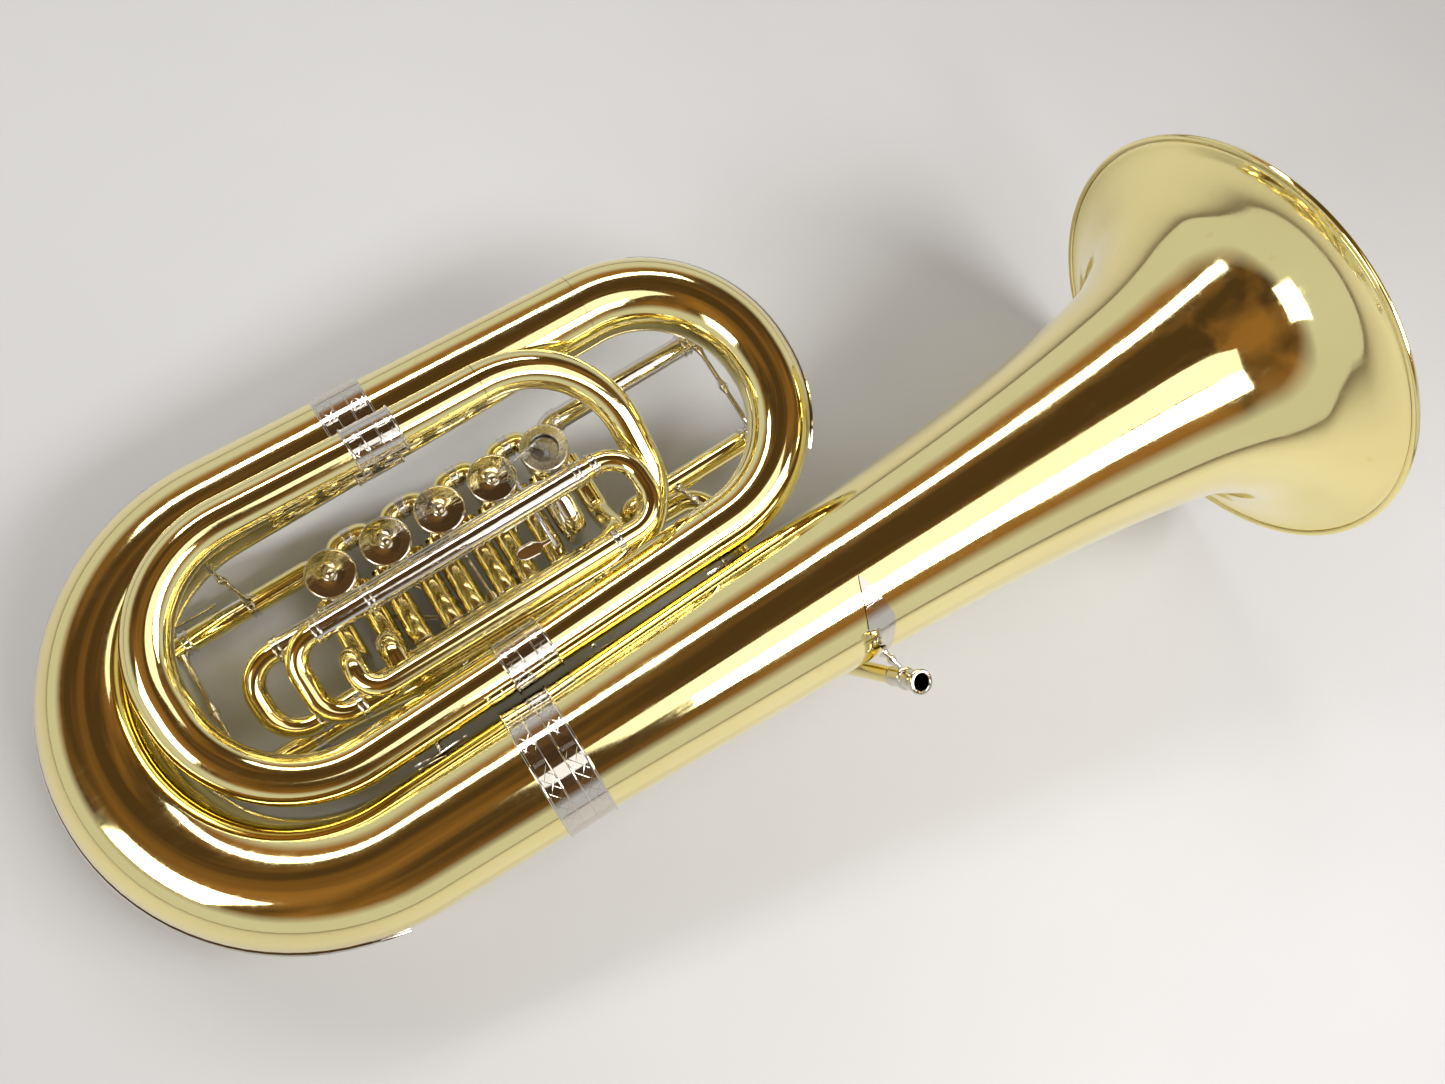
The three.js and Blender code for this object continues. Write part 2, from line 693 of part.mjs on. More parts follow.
place(
  "valve_slide_5",
  tube(
    [
      upperFive(SLEEVE_FIVE + TRAVEL.fifth + KEPT),
      upperFive(LEFT_FIVE),
      lowerFive(LEFT_FIVE),
      lowerFive(SLEEVE_FIVE + TRAVEL.fifth + KEPT),
    ],
    29,
    TUBE_RADIUS,
    planeFive,
  ),
  BRASS,
);

// ---------------------------------------------------------------- main tuning slide
const MAIN_SLEEVE_X = -952; // where the outer legs stop
const MAIN_CROOK_X = -987; // middle of the crook's tube
const BRACE_RADIUS = 2.5;
const upperMain = onLine(at(-826, 263.4, first.z), at(MAIN_SLEEVE_X, 261, first.z));
const lowerMain = beside(upperMain, at(MAIN_SLEEVE_X, 129, first.z));
place(
  "main_slide_upper_leg",
  buttAgainst(
    0,
    tube(
      [
        at(first.x - PORT_OFFSET, first.y + 5, first.z),
        upperMain(first.x - PORT_OFFSET),
        upperMain(MAIN_SLEEVE_X),
      ],
      KNUCKLE_BEND + 1,
      SLEEVE_RADIUS,
    ),
  ),
  BRASS,
);
const fourthPath = route(
  [
    fourthStart.clone().add(at(-JOINT_GAP, 0, 0)),
    at(-795, FOURTH_BRANCH_Y + 1.5, fourthZ),
    lowerMain(-875),
    lowerMain(MAIN_SLEEVE_X),
  ],
  [60, 60],
);
const fourthRadius = (share) => Math.max(SLEEVE_RADIUS, THREE.MathUtils.lerp(13.5, 10.5, share / 0.6));
place("fourth_branch", bentTube(fourthPath, fourthRadius, TUBE_WALL, ROUND.tube), BRASS);
const mainBraceX = -958;
place(
  "main_tuning_slide",
  join([
    tube(
      [
        upperMain(MAIN_SLEEVE_X + TRAVEL.main + KEPT),
        upperMain(MAIN_CROOK_X),
        lowerMain(MAIN_CROOK_X),
        lowerMain(MAIN_SLEEVE_X + TRAVEL.main + KEPT),
      ],
      30,
    ),
    rod(
      upperMain(mainBraceX).add(at(0, -TUBE_RADIUS + 0.3, 0)),
      lowerMain(mainBraceX).add(at(0, TUBE_RADIUS - 0.3, 0)),
      BRACE_RADIUS,
    ),
  ]),
  BRASS,
);

// Water key on the crook's upper leg: a lever on a pivot, with its pad over a nipple.
const KEY_PIVOT = upperMain(-964).add(at(0, TUBE_RADIUS + 8, 0));
const keyBar = new THREE.BoxGeometry(62, 2.2, 5);
keyBar.translate(KEY_PIVOT.x + 19, KEY_PIVOT.y, KEY_PIVOT.z);
const keyPad = rod(
  at(KEY_PIVOT.x - 9, KEY_PIVOT.y + 0.5, KEY_PIVOT.z),
  at(KEY_PIVOT.x - 9, KEY_PIVOT.y - 6.5, KEY_PIVOT.z),
  3.6,
  ROUND.tube,
);
place("water_key", join([keyBar, keyPad]), NICKEL);

// ---------------------------------------------------------------- leadpipe and its slide
const LEAD_SLEEVE_X = -425;
const LEAD_CROOK_X = -397;
const upperLead = onLine(at(-580, 274, fifth.z), at(LEAD_SLEEVE_X, 278, fifth.z));
const lowerLead = beside(upperLead, at(LEAD_SLEEVE_X, 167, fifth.z));
place(
  "lead_slide_upper_leg",
  buttAgainst(
    VALVES - 1,
    tube(
      [
        at(fifth.x + PORT_OFFSET, fifth.y + 5, fifth.z),
        upperLead(fifth.x + PORT_OFFSET),
        upperLead(LEAD_SLEEVE_X),
      ],
      KNUCKLE_BEND + 1,
      SLEEVE_RADIUS,
    ),
  ),
  NICKEL,
);
const leadBraceX = -418;
place(
  "lead_tuning_slide",
  join([
    tube(
      [
        upperLead(LEAD_SLEEVE_X - TRAVEL.lead - KEPT),
        upperLead(LEAD_CROOK_X),
        lowerLead(LEAD_CROOK_X),
        lowerLead(LEAD_SLEEVE_X - TRAVEL.lead - KEPT),
      ],
      26,
    ),
    rod(
      upperLead(leadBraceX).add(at(0, -TUBE_RADIUS + 0.3, 0)),
      lowerLead(leadBraceX).add(at(0, TUBE_RADIUS - 0.3, 0)),
      BRACE_RADIUS,
    ),
  ]),
  NICKEL,
);

const RECEIVER_MOUTH = at(-446, -108, 50);
const receiverAlong = at(13, -34, 88).normalize();
const RECEIVER_LENGTH = 46;
const receiverEnd = RECEIVER_MOUTH.clone().addScaledVector(receiverAlong, -RECEIVER_LENGTH);
const LEAD_Z = -79; // leadpipe under the body
const LEAD_CLEARANCE = 20.65; // last slide leg of the row to the leadpipe's drop
const LEAD_RUN = 75; // from that drop to the leadpipe's turn towards the receiver
const leadDropX = rowEnd + LEAD_CLEARANCE;
const leadTurnX = leadDropX + LEAD_RUN;
// laid from its slide back to the receiver, so that the slide's facets lie in line
const leadPath = route(
  [
    lowerLead(LEAD_SLEEVE_X),
    lowerLead(leadDropX),
    at(leadDropX, 150, LEAD_Z),
    at(leadTurnX, 150, LEAD_Z),
    at(leadTurnX, 60, -83),
    RECEIVER_MOUTH.clone().addScaledVector(receiverAlong, -142),
    receiverEnd.clone().addScaledVector(receiverAlong, -JOINT_GAP),
  ],
  [12.5, 12.5, 26, 60, 34],
);
const leadRadius = (share) => Math.min(SLEEVE_RADIUS, THREE.MathUtils.lerp(7.6, 12, (1 - share) / 0.85));
place("leadpipe", bentTube(leadPath, leadRadius, TUBE_WALL, ROUND.tube), BRASS);
place(
  "mouthpiece_receiver",
  turned(
    receiverEnd,
    RECEIVER_MOUTH,
    [
      [0, 8],
      [RECEIVER_LENGTH - 6, 9.6],
      [RECEIVER_LENGTH - 3, 10.6],
      [RECEIVER_LENGTH, 10.6],
      [RECEIVER_LENGTH, 7.4],
      [0, 6],
      [0, 8],
    ],
    ROUND.branch,
  ),
  NICKEL,
);
// Brace from the bell to the receiver: a post that stands on a leaf-shaped plate.
const braceTop = RECEIVER_MOUTH.clone().addScaledVector(receiverAlong, -22).add(at(0, 11.5, 0));
place("receiver_brace", rod(braceTop, at(-452, -70.6, 24), 3), NICKEL);

// ---------------------------------------------------------------- finger levers and links
const LINK_RADIUS = 1.2;
const SOCKET_REACH = 5; // a link rod's socket, past the stop pin it sits on
const leverLow = LEVER_AXLE_Z - LEVER_DROP;
const throwHalf = STOP_PIN_RADIUS * Math.sin(STOP_SWING);
const AXLE_RADIUS = 2.5;
const HUB_RADIUS = 4.2;
const PLATE_MIDDLE_X = -717; // middle of the four finger plates
const FINGER_VALVES = 4;
const AXLE_OVERHANG = 20.3; // past the first lever's valve
const AXLE_OVERHANG_FAR = 18.54; // past the last one's
const axleFrom = at(first.x - AXLE_OVERHANG, LEVER_AXLE_Y, LEVER_AXLE_Z);
const axleTo = at(valveCentre(FINGER_VALVES - 1).x + AXLE_OVERHANG_FAR, LEVER_AXLE_Y, LEVER_AXLE_Z);
place("lever_axle", rod(axleFrom, axleTo, AXLE_RADIUS), STEEL);

// A flat bar between two points, width wide along x and thick the other way.
function bar(from, to, width, thick) {
  const along = to.clone().sub(from);
  const box = new THREE.BoxGeometry(width, along.length(), thick);
  const up = along.clone().normalize();
  const wide = at(1, 0, 0).addScaledVector(up, -up.x).normalize();
  const matrix = new THREE.Matrix4().makeBasis(wide, up, wide.clone().cross(up));
  return box.applyMatrix4(matrix.setPosition(from.clone().addScaledVector(along, 0.5)));
}

function makeLever(i) {
  const x = valveCentre(i).x;
  const plateX = PLATE_MIDDLE_X + (i - 1.5) * LEVER_PITCH;
  const hubHalf = 4;
  const hub = turned(
    at(x - hubHalf, LEVER_AXLE_Y, LEVER_AXLE_Z),
    at(x, LEVER_AXLE_Y, LEVER_AXLE_Z),
    [
      [0, AXLE_RADIUS + 0.5],
      [0, HUB_RADIUS],
      [2 * hubHalf, HUB_RADIUS],
      [2 * hubHalf, AXLE_RADIUS + 0.5],
      [0, AXLE_RADIUS + 0.5],
    ],
    ROUND.tube,
  );
  const foot = at(x, LEVER_AXLE_Y + throwHalf, leverLow);
  const arm = bar(at(x, LEVER_AXLE_Y + 0.5, LEVER_AXLE_Z - 3.4), foot, 5, 2.4);
  const elbow = at(x, LEVER_AXLE_Y - 2, leverLow - 5);
  const reach = bar(foot.clone().add(at(0, 0, 1)), elbow, 5, 2.4);
  const tip = at(plateX, 172, leverLow - 12);
  const run = bar(elbow.clone().add(at(0, 1, 0)), tip, 4.6, 2.4);
  const plateEnd = at(plateX, 143, leverLow - 16);
  const fingerPlate = bar(tip.clone().add(at(0, 1, 0)), plateEnd, 18, 2);
  return join([arm, hub, reach, run, fingerPlate]);
}

// A link rod from the lever's foot to just below the stop arm's pin.
function makeLink(i) {
  const c = valveCentre(i);
  const pin = at(c.x + throwHalf, c.y + throwHalf, 0);
  const z = c.z - CASING_HALF - 3.6 - PIN_HEIGHT - FLOAT_GAP - LINK_RADIUS;
  const start = at(c.x, LEVER_AXLE_Y + throwHalf + 2.2, z);
  const end = at(pin.x, pin.y, z);
  const along = end.clone().sub(start).normalize();
  return rod(start, end.addScaledVector(along, SOCKET_REACH), LINK_RADIUS);
}

for (let i = 0; i < FINGER_VALVES; i++) {
  place("lever_" + (i + 1), makeLever(i), NICKEL);
  place("link_rod_" + (i + 1), makeLink(i), STEEL);
}

// Thumb lever of the fifth valve, on the player's side: a shaft across the loops with a
// plate for the thumb and an arm that works the link.
const THUMB = { x: -638, z: -6, near: 158, far: 250, radius: 2.2, drop: 21 };
const thumbArmFoot = at(THUMB.x - throwHalf, THUMB.far - 2, THUMB.z - THUMB.drop);
place(
  "thumb_lever",
  join([
    rod(at(THUMB.x, THUMB.near, THUMB.z), at(THUMB.x, THUMB.far, THUMB.z), THUMB.radius),
    bar(at(THUMB.x, THUMB.far - 2, THUMB.z), thumbArmFoot, 2.4, 4),
    bar(at(THUMB.x, THUMB.near + 8, THUMB.z), at(THUMB.x - 34, THUMB.near + 8, THUMB.z + 8), 14, 2),
  ]),
  NICKEL,
);
const thumbLinkZ = fifth.z + CASING_HALF + CAP_HEIGHT + 3.2 + PIN_HEIGHT + FLOAT_GAP + LINK_RADIUS;
place(
  "link_rod_5",
  rod(
    at(thumbArmFoot.x + 2.4, thumbArmFoot.y, thumbLinkZ),
    at(fifth.x - throwHalf, fifth.y + throwHalf, thumbLinkZ),
    LINK_RADIUS,
  ),
  STEEL,
);

// ---------------------------------------------------------------- on the floor
// The floor touches the rim wire under the bell and the main slide's crook.
const rimMiddle = BELL_RADIUS - RIM_WIRE;
const lift = rimMiddle + first.z;
const reach = Math.hypot(lift, MAIN_CROOK_X);
const tilt = Math.atan2(lift, -MAIN_CROOK_X) - Math.asin((TUBE_RADIUS - RIM_WIRE) / reach);
instrument.rotation.y = -tilt;
const tuba = new THREE.Group();
tuba.add(instrument);
tuba.updateMatrixWorld(true);
const box = new THREE.Box3().setFromObject(instrument, true);
const middle = box.getCenter(at(0, 0, 0));
instrument.position.set(-middle.x, -middle.y, -box.min.z);
export default tuba;
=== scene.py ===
# %% [markdown]
# # A five-valve tuba, lying on its bell rim
# The solid model gives the frame: every body, joint and size. Here each tube, cap and lever
# gets its smooth surface and its metal. A brass instrument is almost all surfaces of
# revolution and tubes bent along a route, so two kinds of formula make nearly every piece.

import json
import math

import bpy
import bmesh
import numpy as np
from mathutils import Matrix, Vector

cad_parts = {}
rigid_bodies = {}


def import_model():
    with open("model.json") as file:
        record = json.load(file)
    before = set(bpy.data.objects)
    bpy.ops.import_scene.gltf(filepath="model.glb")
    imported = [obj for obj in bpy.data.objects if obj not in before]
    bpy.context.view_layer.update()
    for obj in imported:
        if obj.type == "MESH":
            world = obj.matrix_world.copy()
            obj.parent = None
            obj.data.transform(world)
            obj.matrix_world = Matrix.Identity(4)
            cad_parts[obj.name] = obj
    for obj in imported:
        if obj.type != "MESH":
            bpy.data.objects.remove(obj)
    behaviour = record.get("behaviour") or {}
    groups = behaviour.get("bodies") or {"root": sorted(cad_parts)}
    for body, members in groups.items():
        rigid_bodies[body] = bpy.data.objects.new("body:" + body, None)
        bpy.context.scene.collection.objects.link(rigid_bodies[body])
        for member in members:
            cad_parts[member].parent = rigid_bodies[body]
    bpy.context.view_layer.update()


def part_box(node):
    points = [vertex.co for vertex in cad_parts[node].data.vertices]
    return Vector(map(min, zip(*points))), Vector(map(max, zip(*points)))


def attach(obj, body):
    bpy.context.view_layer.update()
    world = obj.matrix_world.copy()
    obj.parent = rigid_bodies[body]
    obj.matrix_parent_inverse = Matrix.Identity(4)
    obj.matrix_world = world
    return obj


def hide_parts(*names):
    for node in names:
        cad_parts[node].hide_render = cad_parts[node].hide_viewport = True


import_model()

# %% [markdown]
# ## The instrument's own axes
# The maker's drawing has x along the bell towards its mouth, y across the body towards the
# valves and z square to the body, in millimetres from the middle of the bell rim. The tuba
# lies tipped on the floor, so each finished surface is turned by that tilt and moved to the
# rim's middle at the very end. Working in the drawing's axes keeps every number simple.

# %% From the drawing to the floor
MM = 0.001
BELL_RADIUS = 210.0
RIM_WIRE = 3.0
TUBE = 9.4  # outside radius of the valve tubing
SLEEVE = 10.55  # outside radius of a slide's outer leg
VALVE_Z = -57.0
CROOK_X = -987.0  # far end of the main slide

lift = BELL_RADIUS - RIM_WIRE + VALVE_Z
tilt = math.atan2(lift, -CROOK_X) - math.asin((TUBE - RIM_WIRE) / math.hypot(lift, CROOK_X))
low, high = (np.array(corner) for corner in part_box("bell_rim_wire"))
rim_middle = (low + high) / 2
AXES = np.array(
    [
        [math.cos(tilt), 0, math.sin(tilt)],
        [0, 1, 0],
        [-math.sin(tilt), 0, math.cos(tilt)],
    ],
)


def on_floor(points):
    """Drawing millimetres to metres: turn by the tilt, scale, move to the rim's middle."""
    return np.asarray(points, float) @ AXES * MM + rim_middle


def way_on_floor(direction):
    """A direction in the drawing, turned by the tilt."""
    return np.asarray(direction, float) @ AXES


print("tilt", round(math.degrees(tilt), 2), "degrees, rim middle", rim_middle.round(4))

# %% [markdown]
# ## Shader maths in plain Python
# A procedural finish is a small sum: how dull, how rough, how yellow at each point. The class
# below wraps a node's output so that such a sum can be written as an expression, and each
# operator adds its Math node. Any other node comes from `Finish.node`.


# %% A socket that can be added and multiplied
class Value:
    def __init__(self, finish, socket):
        self.finish = finish
        self.socket = socket

    def _math(self, operation, a, b=None):
        inputs = {0: a} if b is None else {0: a, 1: b}
        return self.finish.node("ShaderNodeMath", {"operation": operation}, inputs)

    def __add__(self, other):
        return self._math("ADD", self, other)

    __radd__ = __add__

    def __mul__(self, other):
        return self._math("MULTIPLY", self, other)

    __rmul__ = __mul__

    def __sub__(self, other):
        return self._math("SUBTRACT", self, other)

    def __rsub__(self, other):
        return self._math("SUBTRACT", other, self)

    def over(self, edge):
        return self._math("GREATER_THAN", self, edge)

    def clipped(self, start, end):
        settings = {"clamp": True}
        inputs = {0: self, 1: start, 2: end, 3: 0, 4: 1}
        return self.finish.node("ShaderNodeMapRange", settings, inputs)


class Nodes:
    """The node maker of the lesson, for the tree of a material or of the world."""

    def __init__(self, owner, shader):
        owner.use_nodes = True
        self.tree = owner.node_tree
        self.shader = self.tree.nodes[shader]

    def node(self, kind, settings, inputs, output=0):
        made = self.tree.nodes.new(kind)
        for key, value in settings.items():
            if key == "stops":
                self._stops(made.color_ramp, value)
            else:
                setattr(made, key, value)
        for key, value in inputs.items():
            self.feed(made.inputs[key], value)
        return Value(self, made.outputs[output])

    def _stops(self, ramp, stops):
        while len(ramp.elements) < len(stops):
            ramp.elements.new(0.5)
        for element, (place, colour) in zip(ramp.elements, stops):
            element.position = place
            element.color = colour

    def feed(self, socket, value):
        if isinstance(value, Value):
            self.tree.links.new(value.socket, socket)
        else:
            socket.default_value = value

    def set(self, **sockets):
        for key, value in sockets.items():
            self.feed(self.shader.inputs[key.replace("_", " ")], value)
        return self

    def blend(self, factor, a, b):
        inputs = {"Factor": factor, 6: a, 7: b}
        return self.node("ShaderNodeMix", {"data_type": "RGBA"}, inputs, 2)


class Finish(Nodes):
    """A material with a Principled shader."""

    def __init__(self, name):
        self.material = bpy.data.materials.new(name)
        super().__init__(self.material, "Principled BSDF")

    def place(self):
        return self.node("ShaderNodeTexCoord", {}, {}, "Object")

    def noise(self, scale, detail=2.0, where=None):
        where = where or self.place()
        inputs = {"Vector": where, "Scale": scale, "Detail": detail}
        return self.node("ShaderNodeTexNoise", {}, inputs, "Fac")

    def stretched(self, scale_xyz):
        """Object coordinates, stretched, for grain that runs one way."""
        return self.node("ShaderNodeMapping", {}, {"Vector": self.place(), "Scale": scale_xyz})

    def bump(self, height, strength, distance):
        inputs = {"Height": height, "Strength": strength, "Distance": distance}
        return self.node("ShaderNodeBump", {}, inputs)


print("shader maths ready")

# %% [markdown]
# ## Lacquered brass
# The body is yellow brass, buffed to a mirror and lacquered. Buffing leaves a very slight
# waviness and some soft cloudiness, and the lacquer darkens a little where it has pooled or
# been handled. A clean mirror would look like a computer's gold, so the roughness wanders.


# %% Brass
def make_brass(name, bright, deep, rough):
    metal = Finish(name)
    cloud = metal.noise(7.0, 4.0).clipped(0.35, 0.7)
    fine = metal.noise(190.0, 3.0).clipped(0.45, 0.75)
    wipe = metal.noise(24.0, 5.0, metal.stretched((1.0, 6.0, 3.0))).clipped(0.5, 0.72)
    spots = metal.noise(60.0, 1.0).clipped(0.74, 0.8)
    colour = metal.blend(cloud * 0.35 + spots * 0.4, bright, deep)
    wavy = metal.noise(14.0, 1.0) * 1.0 + metal.noise(420.0, 2.0) * 0.04
    metal.set(
        Base_Color=colour,
        Metallic=1.0,
        Roughness=rough + cloud * 0.035 + fine * 0.03 + wipe * 0.045,
        Coat_Weight=0.45,
        Coat_Roughness=0.06,
        Normal=metal.bump(wavy, 0.12, 0.0012),
    )
    return metal.material


BRASS = make_brass("lacquered_brass", (0.96, 0.85, 0.40, 1), (0.86, 0.71, 0.28, 1), 0.045)
BRASS_TUBE = make_brass(
    "lacquered_brass_tubing", (0.94, 0.82, 0.38, 1), (0.80, 0.64, 0.25, 1), 0.06
)
print("brass:", BRASS.name, BRASS_TUBE.name)

# %% [markdown]
# ## Nickel silver
# Garlands, slide sleeves, caps and stays are nickel silver: greyer, a little warmer than
# chrome, and softer to scratch. It carries fine hairlines from polishing along the tube.


# %% Nickel silver and its engraved band
def nickel_base(name):
    metal = Finish(name)
    cloud = metal.noise(11.0, 4.0).clipped(0.35, 0.75)
    hair = metal.noise(90.0, 6.0, metal.stretched((0.6, 9.0, 9.0))).clipped(0.52, 0.7)
    colour = metal.blend(cloud * 0.35, (0.72, 0.68, 0.60, 1), (0.62, 0.57, 0.49, 1))
    metal.set(
        Base_Color=colour,
        Metallic=1.0,
        Roughness=0.05 + cloud * 0.03 + hair * 0.05,
        Coat_Weight=0.2,
        Coat_Roughness=0.08,
    )
    return metal, hair


plain, hairlines = nickel_base("nickel_silver")
plain.set(Normal=plain.bump(hairlines, 0.06, 0.0004))
NICKEL = plain.material


def make_satin():
    """Brushed rather than buffed: the open cap's face is turned to a soft even sheen."""
    metal, hair = nickel_base("satin_nickel_silver")
    rings = metal.noise(240.0, 3.0).clipped(0.4, 0.7)
    metal.set(
        Base_Color=metal.blend(rings * 0.4, (0.80, 0.77, 0.68, 1), (0.66, 0.62, 0.52, 1)),
        Roughness=0.26 + hair * 0.08 + rings * 0.05,
        Normal=metal.bump(rings, 0.1, 0.0003),
    )
    return metal.material


SATIN = make_satin()


def make_engraved():
    """Two families of slanting lines on the band's own UV map cross into a lattice of lozenges."""
    metal, hair = nickel_base("engraved_nickel_silver")
    uv = metal.node("ShaderNodeUVMap", {"uv_map": "band"}, {})
    lines = []
    for slant in (1, -1):
        turned = metal.node(
            "ShaderNodeMapping", {}, {"Vector": uv, "Rotation": (0, 0, slant * math.radians(52))}
        )
        wave = metal.node(
            "ShaderNodeTexWave",
            {"bands_direction": "X", "wave_profile": "TRI"},
            {"Vector": turned, "Scale": 42.0},
            "Fac",
        )
        lines.append(wave.clipped(0.9, 0.98))
    cut = metal.node("ShaderNodeMath", {"operation": "MAXIMUM"}, {0: lines[0], 1: lines[1]})
    middle = metal.node("ShaderNodeSeparateXYZ", {}, {0: uv}, 1)
    near = middle.over(0.0035) * (1 - middle.over(0.0135))
    far = middle.over(0.0285) * (1 - middle.over(0.0405))
    band = near + far
    depth = cut * band
    colour = metal.blend(depth * 0.22 + hair * 0.1, (0.70, 0.66, 0.58, 1), (0.20, 0.17, 0.12, 1))
    metal.set(Base_Color=colour, Roughness=0.05 + depth * 0.12 + hair * 0.04)
    metal.set(Normal=metal.bump(1 - depth, 0.2, 0.0002))
    return metal.material


ENGRAVED = make_engraved()


def make_steel():
    metal = Finish("turned_steel")
    rings = metal.noise(160.0, 4.0, metal.stretched((1, 1, 7))).clipped(0.4, 0.7)
    metal.set(
        Base_Color=metal.blend(rings * 0.5, (0.55, 0.55, 0.56, 1), (0.36, 0.36, 0.38, 1)),
        Metallic=1.0,
        Roughness=0.22 + rings * 0.12,
    )
    return metal.material


def make_cork():
    bark = Finish("cork")
    grain = bark.noise(900.0, 4.0).clipped(0.4, 0.65)
    bark.set(
        Base_Color=bark.blend(grain, (0.46, 0.30, 0.16, 1), (0.24, 0.14, 0.07, 1)),
        Roughness=0.8 + grain * 0.1,
        Normal=bark.bump(grain, 0.5, 0.0005),
    )
    return bark.material


STEEL = make_steel()
CORK = make_cork()
print("finishes:", len(bpy.data.materials))

# %% [markdown]
# ## From formulas to meshes
# A surface here is a grid of points, row by row. `surface` puts a whole grid into a mesh at
# once: each cell of the grid is a face, and a closed direction wraps round. Its sign of volume
# says whether the faces point outwards; if not, the rows are reversed.


# %% Grids into meshes
def grid_faces(rows, columns, wrap_rows, wrap_columns):
    """Corner numbers of every cell of a grid, as one array of quads."""
    r = np.arange(rows if wrap_rows else rows - 1)[:, None]
    c = np.arange(columns if wrap_columns else columns - 1)[None, :]
    r2 = (r + 1) % rows
    c2 = (c + 1) % columns
    corners = [r * columns + c, r * columns + c2, r2 * columns + c2, r2 * columns + c]
    return np.stack([np.broadcast_to(k, (r.size, c.size)) for k in corners], -1).reshape(-1, 4)


def volume_of(points, faces):
    """A sixth of the sum of the triple products of each face's two triangles."""
    p = points[faces]
    one = np.einsum("ij,ij->i", p[:, 0], np.cross(p[:, 1], p[:, 2]))
    two = np.einsum("ij,ij->i", p[:, 0], np.cross(p[:, 2], p[:, 3]))
    return (one.sum() + two.sum()) / 6


SHARP = math.radians(38)


def surface(name, grids, material, wrap_rows=False, wrap_columns=True, uv=None, merge=False):
    """One mesh object from one or more grids of drawing points, with faces outwards."""
    points, faces, start = [], [], 0
    for grid in grids:
        grid = np.asarray(grid, float)
        rows, columns = grid.shape[:2]
        flat = on_floor(grid.reshape(-1, 3))
        cells = grid_faces(rows, columns, wrap_rows, wrap_columns)
        if volume_of(flat - flat.mean(0), cells) < 0:
            cells = cells[:, ::-1]
        points.append(flat)
        faces.append(cells + start)
        start += len(flat)
    points = np.concatenate(points)
    faces = np.concatenate(faces)
    mesh = bpy.data.meshes.new(name)
    mesh.vertices.add(len(points))
    mesh.vertices.foreach_set("co", points.ravel())
    mesh.loops.add(faces.size)
    mesh.loops.foreach_set("vertex_index", faces.ravel().astype(np.int32))
    mesh.polygons.add(len(faces))
    mesh.polygons.foreach_set("loop_start", np.arange(0, faces.size, 4, dtype=np.int32))
    mesh.update(calc_edges=True)
    if uv is not None:
        layer = mesh.uv_layers.new(name="band")
        layer.data.foreach_set("uv", uv[faces.ravel()].ravel())
    if merge:
        edit = bmesh.new()
        edit.from_mesh(mesh)
        bmesh.ops.remove_doubles(edit, verts=edit.verts, dist=2e-6)
        bmesh.ops.dissolve_degenerate(edit, edges=edit.edges, dist=1e-7)
        edit.to_mesh(mesh)
        edit.free()
    mesh.validate()
    mesh.polygons.foreach_set("use_smooth", np.ones(len(mesh.polygons), bool))
    mesh.set_sharp_from_angle(angle=SHARP)
    mesh.materials.append(material)
    piece = bpy.data.objects.new(name, mesh)
    bpy.context.scene.collection.objects.link(piece)
    return piece


def fit(piece, body="horn", nodes=()):
    """Rides the piece on its body and hides the solids that it stands for."""
    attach(piece, body)
    if nodes:
        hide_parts(*nodes)
    return piece


print("mesh helpers ready")

# %% [markdown]
# ## Routes
# A tube follows corner points with a round bend at each inner corner, as a bending jig makes
# it. Along the way two directions square to the route are carried without twist, so that the
# skin of the tube doesn't wring.


# %% Routes and the tube round them
def unit(v):
    return np.asarray(v, float) / np.linalg.norm(v)


def route(corners, bends=(), step=4.0, grain=12.0):
    """Points every few degrees of each arc and every few millimetres of each straight.
    An arc point is start + radius * (along * sin a + inward * (1 - cos a))."""
    corners = [np.asarray(c, float) for c in corners]
    bends = list(bends) if np.iterable(bends) else [bends] * (len(corners) - 2)
    parts = [corners[0][None]]
    for i, radius in enumerate(bends, 1):
        into = unit(corners[i] - corners[i - 1])
        out = unit(corners[i + 1] - corners[i])
        turn = math.acos(np.clip(into @ out, -1, 1))
        if turn < 1e-4:
            continue
        inward = unit(out - into * (into @ out))
        start = corners[i] - into * radius * math.tan(turn / 2)
        a = np.linspace(0, turn, max(2, int(math.degrees(turn) / step) + 1))[:, None]
        parts.append(start + radius * (into * np.sin(a) + inward * (1 - np.cos(a))))
    parts.append(corners[-1][None])
    rough = np.concatenate(parts)
    rough = rough[np.r_[True, np.linalg.norm(np.diff(rough, axis=0), axis=1) > 0.02]]
    long = np.linalg.norm(np.diff(rough, axis=0), axis=1)
    cuts = np.maximum(1, np.ceil(long / grain)).astype(int)
    knots = np.concatenate([i + np.arange(n) / n for i, n in enumerate(cuts)] + [[len(cuts)]])
    return np.stack([np.interp(knots, np.arange(len(rough)), rough[:, k]) for k in range(3)], 1)


def carried(points, hint=(0, 0, 1)):
    """Share of the length at each point, and two directions square to the route."""
    gaps = np.linalg.norm(np.diff(points, axis=0), axis=1)
    share = np.r_[0, gaps.cumsum()] / gaps.sum()
    along = np.gradient(points, share * gaps.sum(), axis=0, edge_order=1)
    along /= np.linalg.norm(along, axis=1)[:, None]
    normal = np.array(hint, float)
    if abs(along[0] @ normal) > 0.9:
        normal = np.array([1.0, 0, 0])
    normals = []
    for direction in along:
        normal = unit(normal - direction * (normal @ direction))
        normals.append(normal)
    normals = np.array(normals)
    return share, along, normals, np.cross(along, normals)


